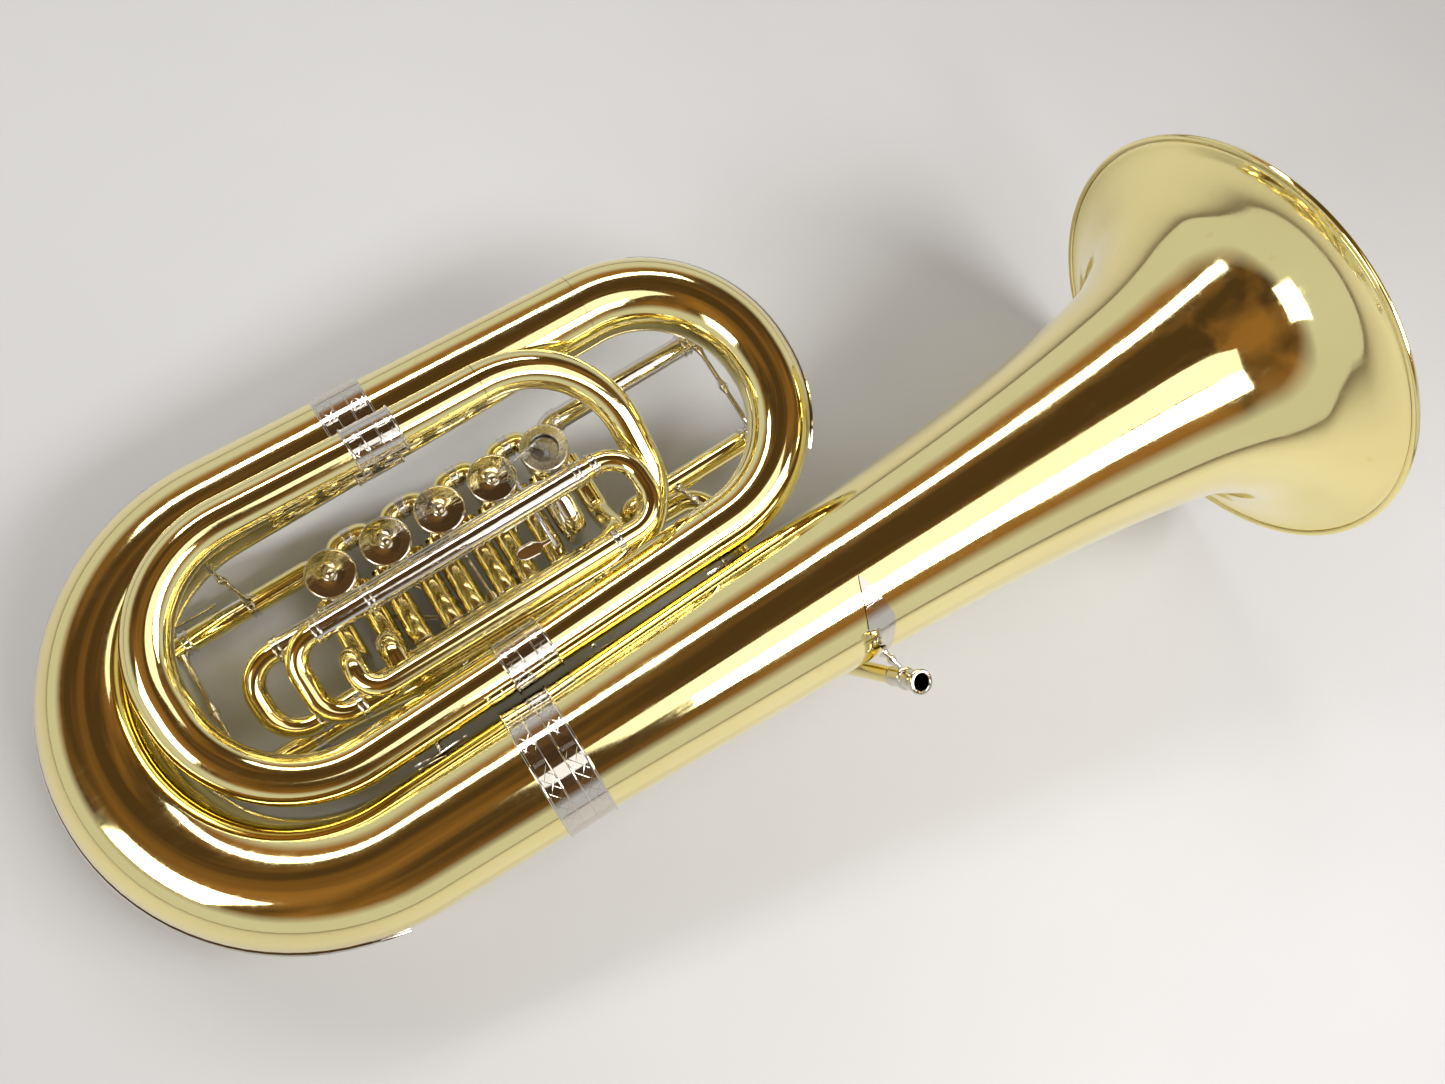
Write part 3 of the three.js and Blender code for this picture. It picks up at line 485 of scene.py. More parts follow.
def skin(points, radius, sides):
    """Ring at each point: middle + radius * (normal * cos t + side * sin t)."""
    share, along, normal, side = carried(points)
    r = radius(share) if callable(radius) else np.broadcast_to(radius, share.shape)
    t = np.linspace(0, 2 * np.pi, sides, endpoint=False)
    ring = normal[:, None] * np.cos(t)[None, :, None] + side[:, None] * np.sin(t)[None, :, None]
    return points[:, None] + ring * np.asarray(r)[:, None, None]


def shell(points, radius, wall, sides):
    """Outer skin forwards and inner skin backwards: closed both ways, like a stretched ring."""
    inner = (lambda s: radius(s) - wall) if callable(radius) else radius - wall
    return np.concatenate([skin(points, radius, sides), skin(points, inner, sides)[::-1]])


def tube(name, points, radius, material, body="horn", nodes=(), wall=0.8, sides=32):
    made = surface(name, [shell(points, radius, wall, sides)], material, wrap_rows=True)
    return fit(made, body, nodes)


def between(a, b):
    return lambda share: a + (b - a) * share


print("a quarter bend has", len(route([(0, 0, 0), (50, 0, 0), (50, 50, 0)], [30])), "stations")

# %% [markdown]
# ## Turned pieces
# Caps, rings, sleeves and the bell come off a lathe or a spinning chuck: a profile of
# distance and radius, carried round a line.


# %% Turning
def turned_grid(start, end, profile, sides=48):
    """Point = start + along * distance + radius * (normal * cos t + side * sin t)."""
    start, end = np.asarray(start, float), np.asarray(end, float)
    along = unit(end - start)
    hint = np.array([0, 0, 1.0]) if abs(along[2]) < 0.9 else np.array([1.0, 0, 0])
    normal = unit(hint - along * (hint @ along))
    side = np.cross(along, normal)
    profile = np.asarray(profile, float)
    t = np.linspace(0, 2 * np.pi, sides, endpoint=False)
    ring = normal * np.cos(t)[:, None] + side * np.sin(t)[:, None]
    return start + profile[:, 0, None, None] * along + profile[:, 1, None, None] * ring[None]


def turned(name, start, end, profile, material, body="horn", nodes=(), sides=48):
    """A closed profile wraps on itself; one that starts and ends on the axis closes there."""
    profile = np.asarray(profile, float)
    solid = profile[0, 1] == 0
    grid = turned_grid(start, end, profile, sides)
    made = surface(name, [grid], material, wrap_rows=not solid, merge=solid)
    return fit(made, body, nodes)


def beaded(width, inner, outer, bead):
    """Profile of a ferrule: a band with a half-round bead at each end."""
    a = np.linspace(0, np.pi, 9)
    left = np.stack([bead * (1 - np.cos(a)), outer + bead * np.sin(a)], 1)
    right = np.stack([width - 2 * bead + bead * (1 - np.cos(a)), outer + bead * np.sin(a)], 1)
    return np.concatenate([[[0, inner]], left, right, [[width, inner]]])


def ferrule(name, middle, along, radius, material=NICKEL, body="horn", width=7.0, bead=1.1):
    along = unit(along)
    start = np.asarray(middle, float) - along * width / 2
    profile = beaded(width, radius + 0.05, radius + 0.6, bead)
    return turned(name, start, start + along, profile, material, body, sides=36)


print("a ferrule has", len(beaded(7, 10, 11, 1)), "profile points")

# %% [markdown]
# ## The bell
# A bell is spun over a mandrel, so it is one profile turned about one line. The flare is
# nearly hyperbolic: it hardly widens for half a metre and then opens in the last hand's
# breadth. A smooth curve through the mandrel's stations gives the outside, and the wall is a
# millimetre inside it.

# %% Bell and rim
BELL_LENGTH = 731.0
SHEET = 1.0
STATIONS = np.array(
    [
        (0, 210), (4, 195.3), (14, 175.35), (32, 150.15), (58, 129.8), (90, 114.3),
        (150, 101.6), (230, 89.5), (330, 78.9), (450, 70.7), (600, 64), (731, 57.6),
    ],
    float,
)


def smooth_line(x, y, wanted):
    """Cubic pieces through the stations with slopes that never overshoot."""
    gaps = np.diff(x)
    slopes = np.diff(y) / gaps
    middle = 2 * slopes[1:] * slopes[:-1] / (slopes[1:] + slopes[:-1])
    m = np.r_[slopes[0], middle, slopes[-1]]
    k = np.clip(np.searchsorted(x, wanted) - 1, 0, len(gaps) - 1)
    s = (wanted - x[k]) / gaps[k]
    h = gaps[k]
    return (
        y[k] * (1 + 2 * s) * (1 - s) ** 2
        + y[k + 1] * s**2 * (3 - 2 * s)
        + h * m[k] * s * (1 - s) ** 2
        - h * m[k + 1] * s**2 * (1 - s)
    )


def bell_radius(back):
    return smooth_line(STATIONS[:, 0], STATIONS[:, 1], np.asarray(back, float))


back = BELL_LENGTH * np.linspace(0, 1, 110) ** 2.2
outside = bell_radius(back)
mouth = RIM_WIRE * 2 + 0.2
outside = np.minimum(outside, BELL_RADIUS - mouth)
skin_out = np.stack([-back, outside], 1)
skin_in = np.stack([-back, outside - SHEET], 1)[::-1]
bell = turned(
    "bell_flare", (0, 0, 0), (1, 0, 0), np.r_[skin_out, skin_in], BRASS, nodes=["bell"], sides=160,
)
a = np.linspace(0, 2 * np.pi, 24, endpoint=False)
wire = np.stack([RIM_WIRE * np.sin(a), BELL_RADIUS - RIM_WIRE + RIM_WIRE * np.cos(a)], 1)
turned("bell_rim", (0, 0, 0), (1, 0, 0), wire, BRASS, nodes=["bell_rim_wire"], sides=160)
print("bell faces:", len(bell.data.polygons))

# %% [markdown]
# ## Bows and branches
# The big tubing is bent sheet: the bottom bow, the first branch up the body, the top bow, and
# then the same again inside, always narrower. Each is a route with a radius that tapers from
# the bell's end to the valves' end.

# %% Big tubing
def sheet_tube(node, points, wide, narrow, sides):
    radius = between(wide, narrow)
    tube(f"{node}_tube", points, radius, BRASS, nodes=[node], wall=SHEET, sides=sides)


SPAN = 331.4
RISE = 8  # the first branch stands this far above the bell's line
bottom = route(
    [(-731.4, 0, 0), (-1031, 0, 0), (-1031, SPAN, RISE), (-733, SPAN, RISE)], SPAN / 2 - 0.5
)
sheet_tube("bottom_bow", bottom, 57.4, 39.5, 72)
first = route([(-731.5, SPAN, RISE), (-512, SPAN, RISE)])
sheet_tube("first_branch", first, 39.4, 34.6, 64)
second_start = np.array([-520.0, 97, 6])
second_end = np.array([-709.0, 87, 12])
second_along = unit(second_end - second_start)
top_corner = second_start + second_along * (-394 + 520) / second_along[0]
top_bend = (SPAN - top_corner[1]) / 2 - 0.5
top = route([(-511.6, SPAN, RISE), (-394, SPAN, RISE), top_corner, second_start], top_bend)
sheet_tube("top_bow", top, 34.5, 25.5, 64)
second = route([second_start + second_along * 0.4, second_end])
sheet_tube("second_branch", second, 25.3, 22, 48)
inner_bottom = route(
    [second_end + second_along * 1.5, (-964, 76, 26), (-964, 297, 73), (-725, 297, 62)], 105
)
sheet_tube("inner_bottom_bow", inner_bottom, 21.9, 18.4, 48)
third = route([(-723.5, 297, 62), (-628, 297, 61)])
sheet_tube("third_branch", third, 18.3, 17.4, 48)
inner_top = route(
    [(-627.6, 297, 61), (-533, 297, 59), (-533, 118.5, -29), (-610, 118.5, -30)], [92, 76],
)
sheet_tube("inner_top_bow", inner_top, 17.3, 13.6, 40)

# %% [markdown]
# ## Main tuning slide
# Two parallel legs and a crook. The outer legs end in ferrules, and the crook's own legs
# stand inside them. Parallel legs matter more than anything here: a slide whose legs spread
# would jam, so both lines are one direction.


# %% Lines that run beside each other
def line(a, b):
    """Point at some x of the straight line through two points."""
    a, b = np.asarray(a, float), np.asarray(b, float)
    return lambda x: a + (b - a) * (x - a[0]) / (b[0] - a[0])


def beside(other, a):
    a = np.asarray(a, float)
    return line(a, a + other(1) - other(0))


def crook_way(upper, lower, inside, outside, bend):
    """Out along one leg, round, and back along the other."""
    return route([upper(inside), upper(outside), lower(outside), lower(inside)], bend)


def slide_brace(name, upper, lower, x, body):
    """The turned post between a slide's two legs."""
    sink = (0, TUBE - 0.6, 0)
    ends = upper(x) - sink, lower(x) + sink
    length = np.linalg.norm(ends[1] - ends[0])
    swell = [0, 0.05, 0.1, 0.42, 0.46, 0.5, 0.54, 0.58, 0.9, 0.95, 1]
    girth = [5.2, 3.6, 2.5, 2.3, 3.4, 4.6, 3.4, 2.3, 2.5, 3.6, 5.2]
    s = np.linspace(0, 1, 120)
    profile = np.stack([s * length, np.interp(s, swell, girth)], 1)
    turned(name, *ends, np.r_[[[0, 0]], profile, [[length, 0]]], NICKEL, body, sides=20)


MAIN_END = -952.0
upper_main = line((-826, 263.4, VALVE_Z), (MAIN_END, 261, VALVE_Z))
lower_main = beside(upper_main, (MAIN_END, 129, VALVE_Z))
row_turn = math.radians(1.2)
PITCH = 54.4
PORT = 11.0
LEG = 15.5


def valve(i):
    """Middle of valve i, counted from the left."""
    along = np.array([math.cos(row_turn), math.sin(row_turn), 0])
    return np.array([-815.7, 245.2, VALVE_Z]) + along * i * PITCH


one, five = valve(0), valve(4)
elbow = np.array([one[0] - PORT, one[1] + 8, VALVE_Z])
elbow_route = route([elbow, upper_main(elbow[0]), upper_main(MAIN_END)], 8.5, step=8)
tube("main_slide_sleeve_upper", elbow_route, SLEEVE, BRASS_TUBE, nodes=["main_slide_upper_leg"])
fourth = route(
    [(-610.4, 118.5, -30), (-795, 120, -30), lower_main(-875), lower_main(MAIN_END)], [60, 60],
)
tube(
    "fourth_branch_tube", fourth,
    lambda s: np.maximum(SLEEVE, 13.5 - 5 * s), BRASS_TUBE, nodes=["fourth_branch"], sides=36,
)
crook = crook_way(upper_main, lower_main, MAIN_END + 48, CROOK_X, 30)
tube("main_slide_crook", crook, TUBE, BRASS_TUBE, "main_tuning_slide", ["main_tuning_slide"])
slide_brace("main_slide_brace", upper_main, lower_main, -958.0, "main_tuning_slide")
main_way = (1, 0.019, 0)
for side, leg, ring_x in (("upper", upper_main, -888), ("lower", lower_main, -893)):
    ferrule(f"main_slide_ferrule_{side}", leg(MAIN_END + 3), main_way, SLEEVE, width=8)
    ferrule(f"main_slide_middle_ring_{side}", leg(ring_x), main_way, SLEEVE)
print("main slide legs", round(float(upper_main(0)[1] - lower_main(0)[1]), 1), "mm apart")

# %% [markdown]
# ## Garlands
# Where two tubes butt, a nickel garland hides the joint. It's a band with a ring at each edge,
# two finer rings between, and a light lattice engraved in its outer thirds. The rings are real
# metal, so they are in the profile; the lattice is a scratch, so it's in the finish, on the
# band's own map.

# %% Garlands
GARLAND = 44.0
RINGS = ((1.2, 1.2, 1.1), (14.8, 0.7, 0.6), (27.0, 0.7, 0.6), (GARLAND - 1.2, 1.2, 1.1))


def garland_profile(inner, outer):
    """Band whose height is outer, plus a half-round ring near each edge and at each edge."""
    x = np.linspace(0, GARLAND, 140)
    height = np.zeros_like(x)
    for middle, half, tall in RINGS:
        inside = np.clip(1 - ((x - middle) / half) ** 2, 0, None)
        height = np.maximum(height, tall * np.sqrt(inside))
    top = np.stack([x, outer + height], 1)
    return np.r_[[[0, inner]], top, [[GARLAND, inner]]]


def garland(name, middle, along, radius, node):
    along = unit(along)
    start = np.asarray(middle, float) - along * GARLAND / 2
    profile = garland_profile(radius + 0.1, radius + 1.0)
    sides = 96
    grid = turned_grid(start, start + along, profile, sides)
    angle = np.arange(sides) / sides * 2 * math.pi * radius * MM
    u = np.broadcast_to(angle[None, :], (len(profile), sides))
    v = np.broadcast_to(profile[:, 0][:, None] * MM, (len(profile), sides))
    uv = np.stack([u, v], -1).reshape(-1, 2)
    return fit(surface(name, [grid], ENGRAVED, wrap_rows=True, uv=uv), nodes=[node])


garland("garland_bell", (-731.2, 0, 0), (1, 0, 0), 58.6, "bell_garland")
garland("garland_first_branch", (-733, SPAN, RISE), (1, 0, 0), 40.6, "first_branch_garland")
garland("garland_second_branch", second_end, second_along, 22.9, "second_branch_garland")
garland("garland_third_branch", (-725, 297, 62), (1, 0, -0.035), 18.9, "third_branch_garland")
print("garlands done")

# %% [markdown]
# ## Guards
# Thin nickel strips run round the outside of the bows, where the instrument is set down. Each
# is a ribbon laid on the tube's outermost line with its edges rolled over, so it's a small
# arch carried along the bow.


# %% Guard strips
def guard(name, points, radius, centre, first_share, last_share, half_width, node):
    """Ribbon point = middle + (radius + lift) * (outward * cos w + across * sin w)."""
    share, along, _, _ = carried(points)
    keep = (share >= first_share) & (share <= last_share)
    middle, along, share = points[keep], along[keep], share[keep]
    out = middle - np.asarray(centre, float)
    out[:, 2] = 0
    out -= along * np.einsum("ij,ij->i", out, along)[:, None]
    out /= np.linalg.norm(out, axis=1)[:, None]
    across = np.cross(along, out)
    r = radius(share)
    fade = np.clip(np.minimum(share - share[0], share[-1] - share) / 0.03, 0.03, 1) ** 0.5
    w = np.linspace(-1, 1, 15)
    edge = 1.3 * np.exp(-(((np.abs(w) - 0.86) / 0.1) ** 2))
    top = 0.9 + edge
    over = np.r_[w, w[::-1]]
    height = np.r_[top, np.full(15, 0.1)]
    angle = over[None, :] * (half_width * fade / r)[:, None]
    reach = r[:, None] + height[None, :]
    grid = (
        middle[:, None]
        + out[:, None] * (reach * np.cos(angle))[..., None]
        + across[:, None] * (reach * np.sin(angle))[..., None]
    )
    caps = [grid[i : i + 1].mean(1, keepdims=True).repeat(30, 1) for i in (0, len(grid) - 1)]
    made = surface(name, [np.concatenate([caps[0], grid, caps[1]])], NICKEL, merge=True)
    return fit(made, nodes=[node])


guard(
    "bottom_bow_strip", bottom, between(57.4, 39.5), (-865.8, 165.7, 0), 0.2, 0.82, 9,
    "bottom_bow_guard",
)
guard("top_bow_strip", top, between(34.5, 25.5), (-511, 214, 0), 0.1, 0.72, 7, "top_bow_guard")
print("guards done")

# %% [markdown]
# ## Valves
# A rotary valve's casing is a turned can with a screw cap. The cap is a plain disc, finely
# knurled at its rim, with a small dome in the middle over the bearing. The fifth valve's cap
# is an open satin ring, because its stop arm works on that side.

# %% Casings and ports
CASING = 20.0
HALF = 17.0
FOOT = {0: 218, 1: 150, 2: 150, 3: 150, 4: 218}


def casing_profile():
    """A can, thickened at both ends where the caps screw on and ringed round its waist."""
    x = np.linspace(-HALF, HALF, 90)
    ends = 1.1 / (1 + np.exp((HALF - 3.2 - np.abs(x)) * 3))
    waist = 0.7 * np.exp(-((np.abs(x) - 11.5) / 0.5) ** 2)
    outside = np.stack([x, CASING - 0.8 + np.minimum(ends, 0.8) + waist], 1)
    bore = CASING - 2.4
    return np.r_[
        [[-HALF, 4.4], [-HALF, CASING - 0.6]],
        outside[1:-1],
        [[HALF, CASING - 0.6], [HALF, bore], [-HALF + 3, bore], [-HALF + 3, 4.4]],
    ]


def make_casing(i):
    c = valve(i)
    up = c + (0, 0, 1)
    turned(
        f"casing_{i + 1}", c, up, casing_profile(), BRASS_TUBE, nodes=[f"valve_casing_{i + 1}"],
        sides=72,
    )
    for side, word in ((-1, "left"), (1, "right")):
        x = c[0] + side * LEG
        leg = route([(x, c[1] - 14, VALVE_Z), (x, FOOT[i], VALVE_Z)])
        tube(f"casing_{i + 1}_leg_{word}", leg, SLEEVE, BRASS_TUBE)
        ferrule(f"casing_{i + 1}_ferrule_{word}", (x, FOOT[i] + 4, VALVE_Z), (0, 1, 0), SLEEVE)


def make_knuckle(i):
    a, b = valve(i), valve(i + 1)
    knuckle_y = 21.0
    corners = [
        (a[0] + PORT, a[1] + 15, VALVE_Z),
        (a[0] + PORT, a[1] + knuckle_y + 5, VALVE_Z),
        (b[0] - PORT, b[1] + knuckle_y + 5, VALVE_Z),
        (b[0] - PORT, b[1] + 15, VALVE_Z),
    ]
    tube(f"knuckle_{i + 1}", route(corners, 9.5, step=6), TUBE, BRASS_TUBE)
    ferrule(f"knuckle_{i + 1}_ring", (a + b) / 2 + (0, knuckle_y + 5, 0), b - a, TUBE, width=9)


for i in range(5):
    make_casing(i)
for i in range(4):
    make_knuckle(i)
print("casings done")


# %% Screw caps
CAP = 23.0
CAP_HEIGHT = 6.5
KNURLS = 90
KNURL_DEPTH = 0.16


def cap_grid(c, profile, sides, teeth, depth, rows):
    """A turned cap whose rim radius is raised by depth * |cos(teeth * t / 2)|: a knurl."""
    grid = turned_grid(c, c + np.array([0, 0, 1.0]), profile, sides)
    t = np.arange(sides) * 2 * np.pi / sides
    axis = np.asarray(c, float)
    out = grid - axis
    out[..., 2] = 0
    out /= np.maximum(np.linalg.norm(out, axis=-1, keepdims=True), 1e-9)
    ridge = depth * (np.abs(np.cos(teeth * t / 2)) - 1)
    grid[rows] += out[rows] * ridge[None, :, None]
    return grid


def make_cap(i):
    c = valve(i)
    foot = HALF + 0.35
    lid = foot + CAP_HEIGHT
    s = np.linspace(0, 1, 14)
    rim = [(foot - 6, CAP - 2.6), (foot - 6, CAP - 0.8), (foot - 5, CAP), (lid - 2.4, CAP)]
    shoulder = [
        (lid - 2.4 + 2.4 * math.sin(a), CAP - 2.6 + 2.6 * math.cos(a)) for a in s[1:] * math.pi / 2
    ]
    plate = [(lid, CAP - 3.0), (lid, 14.0), (lid, 6.4)]
    dome = [(lid + 0.4 + 3.4 * math.sin(a), 5.8 * math.cos(a)) for a in s * math.pi / 2]
    under = [(foot + 3, CASING - 2), (foot, CAP - 2.6)]
    if i == 4:
        hole = [(lid, 13.8), (lid - 0.6, 13.2), (foot + 3, 13.2)]
        profile = rim + shoulder + plate[:1] + hole + under
    else:
        dome[-1] = (dome[-1][0], 0)
        profile = [(foot + 3, 0)] + under + rim + shoulder + plate + dome
    profile = np.array(profile, float)
    on_rim = np.where((profile[:, 1] > CAP - 1) & (profile[:, 0] < lid - 1.2))[0]
    grid = cap_grid(c, profile, 240, KNURLS, KNURL_DEPTH, on_rim)
    solid = i != 4
    finish = SATIN if i == 4 else NICKEL
    cap = surface(f"screw_cap_{i + 1}", [grid], finish, wrap_rows=not solid, merge=solid)
    fit(cap, nodes=[f"valve_cap_{i + 1}"])


for i in range(5):
    make_cap(i)
print("caps done")

# %% [markdown]
# ## Valve slides
# Valves two to four have a plain U each. The first and fifth carry longer loops that cross
# over the others, each with a crook of its own that can be drawn.

# %% Short slides
U_FOOT = {1: 126, 2: 108, 3: 92}
for i, foot in U_FOOT.items():
    c = valve(i)
    left, right, inside = c[0] - LEG, c[0] + LEG, FOOT[i] + 33
    corners = [
        (left, inside, VALVE_Z), (left, foot, VALVE_Z),
        (right, foot, VALVE_Z), (right, inside, VALVE_Z),
    ]
    body = f"valve_slide_{i + 1}"
    tube(f"short_slide_{i + 1}", route(corners, LEG - 0.5), TUBE, BRASS_TUBE, body, [body])
    pull = [
        (0, 0), (0, 3.4), (1.2, 3.8), (2.2, 3.0), (3.4, 1.8),
        (5.6, 1.8), (7.4, 3.2), (9.4, 3.6), (10.8, 2.6), (11.4, 0),
    ]
    tip = np.array([c[0], foot - TUBE + 0.4, VALVE_Z])
    turned(f"short_slide_{i + 1}_knob", tip, tip - (0, 1, 0), pull, NICKEL, body, sides=28)
print("short slides done")

# %% First valve's loop
LOOP_Z, RETURN_Z, DROP_Y = 32.0, 10.0, 160.0
PORT_END = 217.6
upper_one = line((-844, 190, LOOP_Z), (-588, 195.3, LOOP_Z))
lower_one = beside(upper_one, (-844, 122, LOOP_Z))
return_one = beside(upper_one, (-844, 122, RETURN_Z))
left_one, right_one = one[0] - LEG, one[0] + LEG
loop_corners = [
    upper_one(-588), upper_one(-549), lower_one(-549), lower_one(left_one),
    (left_one, DROP_Y, LOOP_Z), (left_one, DROP_Y, VALVE_Z), (left_one, PORT_END, VALVE_Z),
]
loop_way = route(loop_corners, [29, 29, 20, 17, 17])
tube("first_loop", loop_way, TUBE, BRASS_TUBE, nodes=["valve_1_loop"])
sleeve_way = route([upper_one(-588.4), upper_one(-844)])
tube("first_loop_sleeve", sleeve_way, SLEEVE, NICKEL, nodes=["valve_1_upper_leg"])
return_corners = [
    return_one(-844), return_one(right_one), (right_one, DROP_Y, RETURN_Z),
    (right_one, DROP_Y, VALVE_Z), (right_one, PORT_END, VALVE_Z),
]
return_way = route(return_corners, [17, 17, 17])
tube("first_loop_return", return_way, SLEEVE, BRASS_TUBE, nodes=["valve_1_return"])
crook_one = crook_way(upper_one, return_one, -819, -870, 25)
tube("first_slide_crook", crook_one, TUBE, BRASS_TUBE, "valve_slide_1", ["valve_slide_1"])
along_loop = upper_one(1) - upper_one(0)
for x in (-841, -793, -595):
    ferrule(f"first_loop_ring_{-x}", upper_one(x), along_loop, SLEEVE)
ferrule("first_loop_ring_578", upper_one(-579), along_loop, TUBE)
ferrule("first_loop_ring_lower", lower_one(-595), along_loop, TUBE)
ferrule("first_return_ring", return_one(-841), along_loop, SLEEVE)

# %% Fifth valve's loop
upper_five = line((-880, 198, 10), (-610, 203.6, 10))
lower_five = beside(upper_five, (-880, 134, -15))
left_five, right_five = five[0] - LEG, five[0] + LEG
upper_corners = [
    upper_five(-880), upper_five(left_five), (left_five, 170, -6), (left_five, 166, VALVE_Z),
    (left_five, PORT_END, VALVE_Z),
]
upper_way = route(upper_corners, [17, 17, 17])
tube("fifth_loop_sleeve", upper_way, SLEEVE, NICKEL, nodes=["valve_5_upper_leg"])
lower_corners = [
    lower_five(-880), lower_five(right_five),
    (right_five, 178, VALVE_Z), (right_five, PORT_END, VALVE_Z),
]
lower_way = route(lower_corners, [24, 24])
tube("fifth_loop_return", lower_way, SLEEVE, BRASS_TUBE, nodes=["valve_5_lower_leg"])
crook_five = crook_way(upper_five, lower_five, -847, -912, 29)
tube("fifth_slide_crook", crook_five, TUBE, BRASS_TUBE, "valve_slide_5", ["valve_slide_5"])
for word, leg in (("upper", upper_five), ("lower", lower_five)):
    ferrule(f"fifth_loop_ring_{word}", leg(-877), along_loop, SLEEVE)
    ferrule(f"fifth_loop_inner_ring_{word}", leg(-832), along_loop, SLEEVE)

# %% [markdown]
# ## Leadpipe
# The air enters at the receiver, passes under the bell, and reaches the valves through its
# own tuning slide. The leadpipe is the narrowest tube and it widens all the way.

# %% Lead slide, leadpipe and receiver
LEAD_END, LEAD_CROOK = -425.0, -397.0
upper_lead = line((-580, 274, VALVE_Z), (LEAD_END, 278, VALVE_Z))
lower_lead = beside(upper_lead, (LEAD_END, 167, VALVE_Z))
elbow = np.array([five[0] + PORT, five[1] + 8, VALVE_Z])
lead_elbow = route([elbow, upper_lead(elbow[0]), upper_lead(LEAD_END)], 11.5, step=8)
tube("lead_slide_sleeve", lead_elbow, SLEEVE, NICKEL, nodes=["lead_slide_upper_leg"])
lead_crook = crook_way(upper_lead, lower_lead, LEAD_END - 38, LEAD_CROOK, 26)
tube("lead_slide_crook", lead_crook, TUBE, NICKEL, "lead_tuning_slide", ["lead_tuning_slide"])
lead_way = (1, 0.026, 0)
for word, leg in (("upper", upper_lead), ("lower", lower_lead)):
    ferrule(f"lead_slide_ferrule_{word}", leg(LEAD_END - 4), lead_way, SLEEVE, width=8)
ferrule("lead_slide_ring", upper_lead(-573), lead_way, SLEEVE, width=8)
slide_brace("lead_slide_brace", upper_lead, lower_lead, -418, "lead_tuning_slide")
receiver_mouth = np.array([-446.0, -108, 50])
receiver_way = unit((13, -34, 88))
receiver_end = receiver_mouth - receiver_way * 46
lead_corners = [
    lower_lead(LEAD_END), lower_lead(-562), (-562, 150, -79), (-487, 150, -79), (-487, 60, -83),
    receiver_mouth - receiver_way * 142, receiver_end - receiver_way * 0.4,
]
leadpipe = route(lead_corners, [12.5, 12.5, 26, 60, 34])
tube(
    "leadpipe_tube", leadpipe, lambda s: np.minimum(SLEEVE, 7.6 + 4.4 * (1 - s) / 0.85),
    BRASS_TUBE, nodes=["leadpipe"], sides=36,
)
socket = [
    (0, 6.0), (0, 8.0), (1.2, 8.6), (2.4, 9.0), (3.6, 8.4), (5, 8.2), (20, 8.7),
    (21, 9.6), (22.4, 10.1), (23.8, 9.6), (24.8, 8.8), (39, 9.4), (40.4, 10.4), (42, 10.9),
    (44.4, 10.9), (45.6, 10.4), (46, 9.6), (46, 8.2), (45.4, 7.5), (45, 7.4),
]
turned(
    "receiver", receiver_end, receiver_mouth, socket, NICKEL,
    nodes=["mouthpiece_receiver"], sides=64,
)
post = np.array([receiver_mouth - receiver_way * 22 + (0, 11.5, 0), (-452, -70.6, 24)])
length = np.linalg.norm(post[1] - post[0])
profile = [(0, 0), (0, 2.6), (0.1 * length, 2.4), (0.3 * length, 2.0), (0.4 * length, 3.6)]
profile += [(0.5 * length, 4.4), (0.6 * length, 3.6), (0.7 * length, 2.2), (0.9 * length, 3.4)]
profile += [(length, 5.5), (length, 0)]
turned("receiver_post", post[0], post[1], profile, NICKEL, nodes=["receiver_brace"], sides=28)
steps = np.linalg.norm(np.diff(leadpipe, axis=0), axis=1)
print("leadpipe length", round(float(steps.sum())), "mm")

# %% [markdown]
# ## Straps and leaves
# Levers are filed from flat bar. A strap is a rounded oblong section carried along a route,
# with its width free to swell and taper. A leaf is a thin pointed plate bent over a tube, as a
# maker lays it under a soldered stay so that the stay doesn't dent the tube.


# %% Straps, leaves and stays
def strap_grid(points, wide, thick, hint=(1, 0, 0), sides=28):
    """Section point: wide * sign(c) * |c|^0.4 across and thick * sign(s) * |s|^0.6 up."""
    share, _, across, up = carried(points, hint)
    t = np.linspace(0, 2 * np.pi, sides, endpoint=False)
    c = np.sign(np.cos(t)) * np.abs(np.cos(t)) ** 0.4
    s = np.sign(np.sin(t)) * np.abs(np.sin(t)) ** 0.6
    w = (wide(share) if callable(wide) else np.full(len(share), wide))[:, None, None]
    flat = across[:, None] * w * c[None, :, None]
    grid = points[:, None] + flat + up[:, None] * thick * s[None, :, None]
    ends = [points[i][None, None].repeat(sides, 1) for i in (0, -1)]
    return np.concatenate([ends[0], grid, ends[1]])


def leaf(name, middle, along, out, radius, half_length, half_width, around=False):
    """Half width at share u of the half length is half_width * (1 - |u|)^0.75."""
    along, out = unit(along), unit(out)
    across = np.cross(along, out)
    u = np.linspace(-1, 1, 61)[:, None]
    v = np.linspace(-1, 1, 17)[None, :]
    wide = half_width * (1 - np.abs(u)) ** 0.75 + 0.02
    a = u * half_length + 0 * v if around else v * wide
    x = v * wide if around else u * half_length + 0 * v
    grids = []
    for lift in (1.0, -0.2):
        r = radius + lift
        angle = a / radius
        grids.append(
            np.asarray(middle, float)
            + along * x[..., None]
            + out * (r * np.cos(angle))[..., None]
            + across * (r * np.sin(angle))[..., None]
        )
    grid = np.concatenate([grids[0], grids[1][:, ::-1]], 1)
    ends = [grid[i].mean(0)[None, None].repeat(34, 1) for i in (0, -1)]
    return fit(surface(name, [np.concatenate([ends[0], grid, ends[1]])], NICKEL, merge=True))


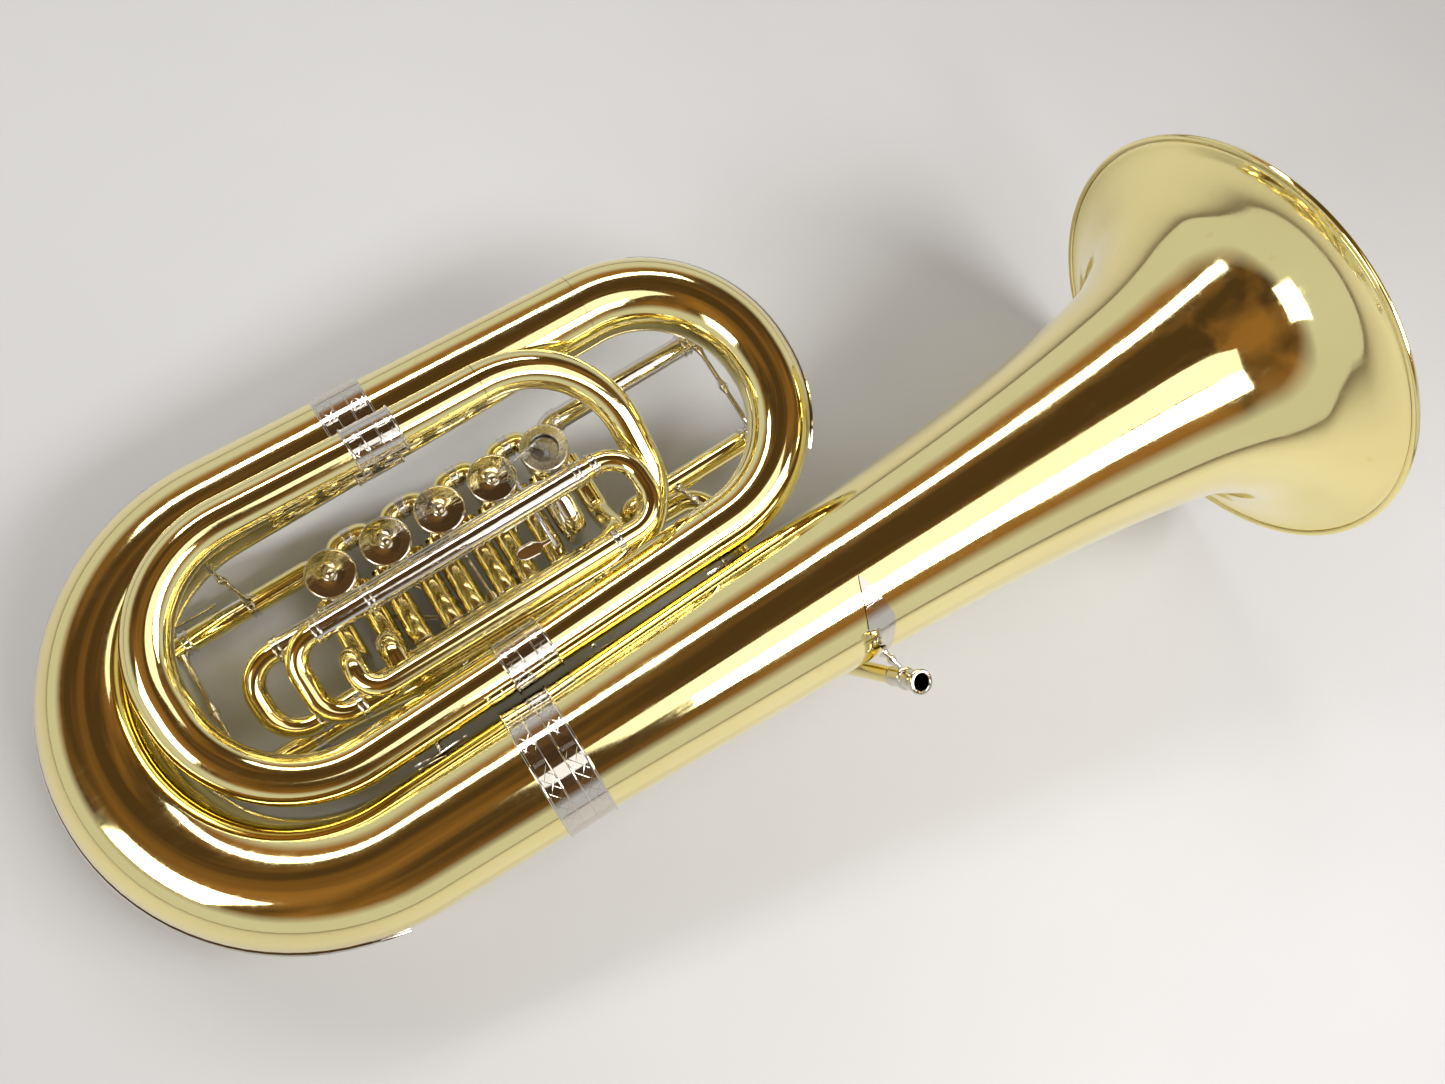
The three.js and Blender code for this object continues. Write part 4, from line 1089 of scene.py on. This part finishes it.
def baluster(length, slim=1.9):
    """A turned post: a foot, a slim neck, a bead in the middle, a neck and a foot."""
    s = np.linspace(0, 1, 90)
    feet = 3.4 * (np.exp(-s / 0.05) + np.exp(-(1 - s) / 0.05))
    off = np.abs(s - 0.5)
    bead = 2.3 * np.exp(-((off / 0.07) ** 2)) + 0.7 * np.exp(-(((off - 0.17) / 0.02) ** 2))
    return np.r_[[[0, 0]], np.stack([s * length, slim + feet + bead], 1), [[length, 0]]]


def stay(name, a, b, radius_a, radius_b):
    """A post from the skin of the tube at a to the skin of the tube at b."""
    a, b = np.asarray(a, float), np.asarray(b, float)
    way = unit(b - a)
    start, end = a + way * (radius_a - 0.3), b - way * (radius_b - 0.3)
    length = float(np.linalg.norm(end - start))
    turned(name, start, start + way, baluster(length), NICKEL, sides=28)
    return way


# %% Stays between the tubes
X_WAY = np.array([1.0, 0, 0])
way = stay("stay_inner_bow_main", (-893, 291, 70), (-888, 262, -57), 20, SLEEVE)
leaf("stay_main_foot", (-900, 262, -57), X_WAY, -way, SLEEVE, 22, 7)
for word, x in (("left", -755), ("right", -630)):
    way = stay(
        f"stay_second_branch_{word}", (x, 119, -30), (x, 88 + (x + 709) * -0.05, 10), 12.5, 23
    )
    leaf(f"stay_second_foot_{word}", (x, 88, 10), X_WAY, -way, 23.6, 15, 6)
way = stay("stay_inner_bow_bell", (-807, 83, 17.5), (-807, 0, 0), 21.5, 56)
leaf("stay_bell_foot", (-807, 0, 0), X_WAY, -way, 57.2, 24, 9)
for word, x in (("left", -800), ("right", -650)):
    way = stay(f"stay_first_branch_{word}", (x, 297, 61), (x, SPAN, RISE), 18, 37.5)
    leaf(f"stay_first_foot_{word}", (x, SPAN, RISE), X_WAY, -way, 39.2 - (x + 733) * 0.02, 18, 7)
stay("stay_lead_top_bow", (-510, 165, VALVE_Z), (-503, 98, 5), SLEEVE, 26)
way = stay("stay_top_bow_bell", (-522, 97, 6), (-522, 0, 0), 25, 67)
leaf("stay_top_bell_foot", (-522, 0, 0), X_WAY, -way, 67.5, 20, 10)
tip = math.radians(43)
leaf(
    "receiver_leaf", (-447, 0, 0), X_WAY, (0, -math.sin(tip), math.cos(tip)), 71.4, 47, 13,
    around=True,
)

# %% [markdown]
# ## Finger levers
# Four levers turn on one axle. Each has a hub, a short arm down to its link rod and a long
# arm that sweeps sideways to its plate, because the plates stand closer together than the
# valves. A link rod carries the push to the stop arm under the casing.

# %% Levers and link rods
AXLE_Y, AXLE_Z, DROP, THROW = 214.0, -41.0, 40.0, 8.0 * math.sin(math.pi / 4)
AXLE_PAST_FIRST, AXLE_PAST_LAST = 20.3, 18.54  # beyond the outer valves
ARM_UNDER, ARM_OVER = 3.6, 3.2  # stop arm's face, from the casing's end or the cap
PIN_HEIGHT = 2.0
LINK_GAP = 0.6  # open pivot, between pin and link rod
LINK_RADIUS = 1.2
SOCKET_REACH = 5.0  # a link rod's socket, past the pin
FOOT_Z = AXLE_Z - DROP
PLATE_X, PLATE_PITCH = -717.0, 23.0
axle_ends = [
    (one[0] - AXLE_PAST_FIRST, AXLE_Y, AXLE_Z),
    (valve(3)[0] + AXLE_PAST_LAST, AXLE_Y, AXLE_Z),
]
span = axle_ends[1][0] - axle_ends[0][0]
axle = [(0, 0), (0, 1.9), (0.8, 2.5), (span - 0.8, 2.5), (span, 1.9), (span, 0)]
turned("axle", axle_ends[0], axle_ends[1], axle, STEEL, nodes=["lever_axle"], sides=32)


def make_lever(i):
    x = valve(i)[0]
    body = f"lever_{i + 1}"
    plate = PLATE_X + (i - 1.5) * PLATE_PITCH
    hub = [(0, 3.0), (0, 4.2), (1.4, 4.6), (2.2, 4.0), (5.8, 4.0), (6.6, 4.6), (8, 4.2), (8, 3.0)]
    turned(f"{body}_hub", (x - 4, AXLE_Y, AXLE_Z), (x, AXLE_Y, AXLE_Z), hub, NICKEL, body, sides=32)
    foot = np.array([x, AXLE_Y + THROW, FOOT_Z])
    arm = route([(x, AXLE_Y + 0.5, AXLE_Z - 3.4), foot + (0, 0, 1)], grain=2)
    sweep = [
        foot + (0, 0, 1), (x, AXLE_Y - 2, FOOT_Z - 5),
        (plate, 172, FOOT_Z - 12), (plate, 160, FOOT_Z - 14),
    ]
    grids = [
        strap_grid(arm, lambda s: 2.9 - 0.8 * np.sin(np.pi * s), 1.2),
        strap_grid(route(sweep, [8, 16], grain=2), lambda s: 2.5 - 0.7 * np.sin(np.pi * s), 1.2),
    ]
    touch = route([(plate, 173, FOOT_Z - 12), (plate, 143, FOOT_Z - 16)], grain=1)
    oval = lambda s: 9 * (1 - np.abs(2 * s - 1) ** 3.2) ** 0.45 + 0.05
    grids.append(strap_grid(touch, oval, 1.0, sides=40))
    fit(surface(f"{body}_arms", grids, NICKEL, merge=True), body, [body])
    link = f"link_rod_{i + 1}"
    z = VALVE_Z - HALF - ARM_UNDER - PIN_HEIGHT - LINK_GAP - LINK_RADIUS
    start = np.array([x, AXLE_Y + THROW + 2.2, z])
    pin = np.array([x + THROW, valve(i)[1] + THROW, z])
    end = pin + unit(pin - start) * SOCKET_REACH
    make_link(link, start, end)


def make_link(name, start, end):
    """A thin rod with a threaded end, a lock nut and a socket at each side."""
    long = float(np.linalg.norm(end - start))
    s = np.linspace(0, long, 160)
    edge = np.minimum(s, long - s)
    thread = 0.12 * np.sin(s * 2 * np.pi / 0.8) * ((edge > 7) & (edge < 12))
    nut = 0.8 * ((edge > 8.5) & (edge < 10.3))
    profile = np.stack([s, 1.05 + 0.12 * (edge < 6) + thread + nut], 1)
    turned(
        name + "_smooth", start, end, np.r_[[[0, 0]], profile, [[long, 0]]], STEEL, name, [name],
        sides=24,
    )


for i in range(4):
    make_lever(i)

# %% Thumb lever of the fifth valve
THUMB_X, THUMB_Z = -638.0, -6.0
shaft = [(0, 0), (0, 1.6), (0.8, 2.2), (91.2, 2.2), (92, 1.6), (92, 0)]
turned(
    "thumb_shaft", (THUMB_X, 158, THUMB_Z), (THUMB_X, 250, THUMB_Z), shaft, STEEL, "thumb_lever",
    sides=28,
)
thumb_foot = np.array([THUMB_X - THROW, 248, THUMB_Z - 21])
arm = route([(THUMB_X, 248, THUMB_Z), thumb_foot], grain=2)
touch = route([(THUMB_X, 166, THUMB_Z), (THUMB_X - 34, 166, THUMB_Z + 8)], grain=1)
thumb_plate = lambda s: 2.2 + 4.8 * np.clip((s - 0.3) / 0.15, 0, 1) * (1 - s**12)
grids = [
    strap_grid(arm, lambda s: 2.0 - 0.5 * np.sin(np.pi * s), 1.2, (0, 0, 1)),
    strap_grid(touch, thumb_plate, 1.0, (0, 1, 0), 40),
]
fit(surface("thumb_arms", grids, NICKEL, merge=True), "thumb_lever", ["thumb_lever"])
link_z = VALVE_Z + HALF + CAP_HEIGHT + ARM_OVER + PIN_HEIGHT + LINK_GAP + LINK_RADIUS
make_link(
    "link_rod_5",
    np.array([thumb_foot[0] + 2.4, 248, link_z]),
    np.array([five[0] - THROW, five[1] + THROW, link_z]),
)

# %% Water key
pivot = upper_main(-964) + (0, TUBE + 8, 0)
blade_width = lambda s: 3.4 - 1.6 * s + 1.2 * np.exp(-(((s - 1) / 0.07) ** 2))
blade = route([pivot + (-12, 0, 0), pivot + (38, 0, 0), pivot + (50, 0.6, 0)], [20], grain=1)
fit(
    surface(
        "water_key_blade",
        [strap_grid(blade, blade_width, 1.1, (0, 0, 1))],
        NICKEL,
        merge=True,
    ),
    "water_key", ["water_key"],
)
cup_top = pivot + (-9, 0.8, 0)
cup = [(0, 0), (0, 2.6), (0.8, 3.4), (4.2, 3.6), (4.6, 3.2), (4.6, 0)]
turned("water_key_cup", cup_top, cup_top - (0, 1, 0), cup, NICKEL, "water_key", sides=32)
pad = [(4.6, 0), (4.6, 3.0), (7.2, 3.0), (7.2, 0)]
turned("water_key_pad", cup_top, cup_top - (0, 1, 0), pad, CORK, "water_key", sides=28)

# %% Rotors keep their drawn shape and take the steel
for i in range(1, 6):
    for held in bpy.data.objects[f"rotor_{i}"].material_slots:
        held.material = STEEL

# %% [markdown]
# ## Camera, floor and light
# Polished metal is seen almost only through what it reflects, so the light is the finish. A
# pale floor fills the lower half of every tube, a dim warm ceiling fills the upper half, and
# a few long soft lamps draw the bright lines along them.

# %% Camera
eye = on_floor((-729.1, -64.0, 1020.9))
right = way_on_floor((0.8386, -0.5358, 0.0989))
down = way_on_floor((-0.5048, -0.8324, -0.2289))
forward = way_on_floor((0.2049, 0.1420, -0.9684))
camera = bpy.data.objects.new("camera", bpy.data.cameras.new("camera"))
camera.data.lens = 29.9
camera.data.sensor_width = 36
camera.data.clip_start = 0.02
turn = np.stack([right, -down, -forward], 1)
turn, _, other = np.linalg.svd(turn)
turn = turn @ other
camera.matrix_world = Matrix.Translation(Vector(eye)) @ Matrix(turn.tolist()).to_4x4()
bpy.context.scene.collection.objects.link(camera)
bpy.context.scene.camera = camera
print("camera at", eye.round(3))

# %% Floor
mesh = bpy.data.meshes.new("floor")
size = 4.0
mesh.from_pydata(
    [(-size, -size, 0), (size, -size, 0), (size, size, 0), (-size, size, 0)], [], [(0, 1, 2, 3)],
)
floor = bpy.data.objects.new("floor", mesh)
bpy.context.scene.collection.objects.link(floor)
paper = Finish("pale_floor")
mottle = paper.noise(3.0, 3.0)
paper.set(
    Base_Color=paper.blend(mottle, (0.49, 0.50, 0.51, 1), (0.54, 0.55, 0.56, 1)),
    Roughness=0.55,
)
mesh.materials.append(paper.material)


# %% Lamps and ceiling
def area(name, size, watts, colour):
    data = bpy.data.lights.new(name, "AREA")
    data.shape = "RECTANGLE"
    data.size, data.size_y = size
    data.energy = watts
    data.color = colour
    made = bpy.data.objects.new(name, data)
    bpy.context.scene.collection.objects.link(made)
    return made


def lamp(name, place, aim, size, watts, colour=(1, 1, 1)):
    made = area(name, size, watts, colour)
    made.location = place
    way = Vector(aim) - Vector(place)
    made.rotation_euler = way.to_track_quat("-Z", "Y").to_euler()


def strip(name, place, aim, length, width, watts, colour=(1, 1, 1)):
    """A long lamp whose long side runs beside the bell, so that it draws a line along the tubes."""
    place, aim = on_floor(place), on_floor(aim)
    back = unit(place - aim)
    long = way_on_floor((1, 0, 0))
    long = unit(long - back * (long @ back))
    made = area(name, (length, width), watts, colour)
    basis = Matrix(np.stack([long, np.cross(back, long), back], 1).tolist()).to_4x4()
    made.matrix_world = Matrix.Translation(Vector(place)) @ basis


strip("strip_near", (350, -1150, 1500), (-350, 0, 0), 1.9, 0.62, 46, (1, 0.99, 0.97))
strip("strip_far", (-300, 1500, 1500), (-500, 100, 0), 2.2, 0.3, 24, (0.97, 0.99, 1))
lamp("softbox_left", (-2.2, -0.2, 1.5), (-0.2, 0, 0.1), (1.0, 1.0), 18, (1, 1, 1))
lamp("fill", (0.3, -1.0, 3.2), (0, 0, 0), (2.4, 1.2), 12, (1, 1, 1))
world = bpy.data.worlds.new("studio")
bpy.context.scene.world = world
room = Nodes(world, "Background")
beams = room.node(
    "ShaderNodeTexNoise",
    {},
    {"Vector": room.node("ShaderNodeTexCoord", {}, {}, "Generated"), "Scale": 1.6, "Detail": 3.0},
)
height = room.node(
    "ShaderNodeSeparateXYZ", {}, {0: room.node("ShaderNodeTexCoord", {}, {}, "Generated")}, 2
)
wood = room.node(
    "ShaderNodeValToRGB",
    {"stops": [(0.38, (0.075, 0.042, 0.018, 1)), (0.62, (0.30, 0.145, 0.042, 1))]},
    {0: beams},
)
above = room.node(
    "ShaderNodeValToRGB", {"stops": [(0.30, (0, 0, 0, 1)), (0.52, (1, 1, 1, 1))]}, {0: height}
)
room.set(Color=room.blend(above, (0.62, 0.63, 0.64, 1), wood), Strength=1.0)
bpy.context.scene.view_settings.view_transform = "Standard"
print("lamps:", len(bpy.data.lights))
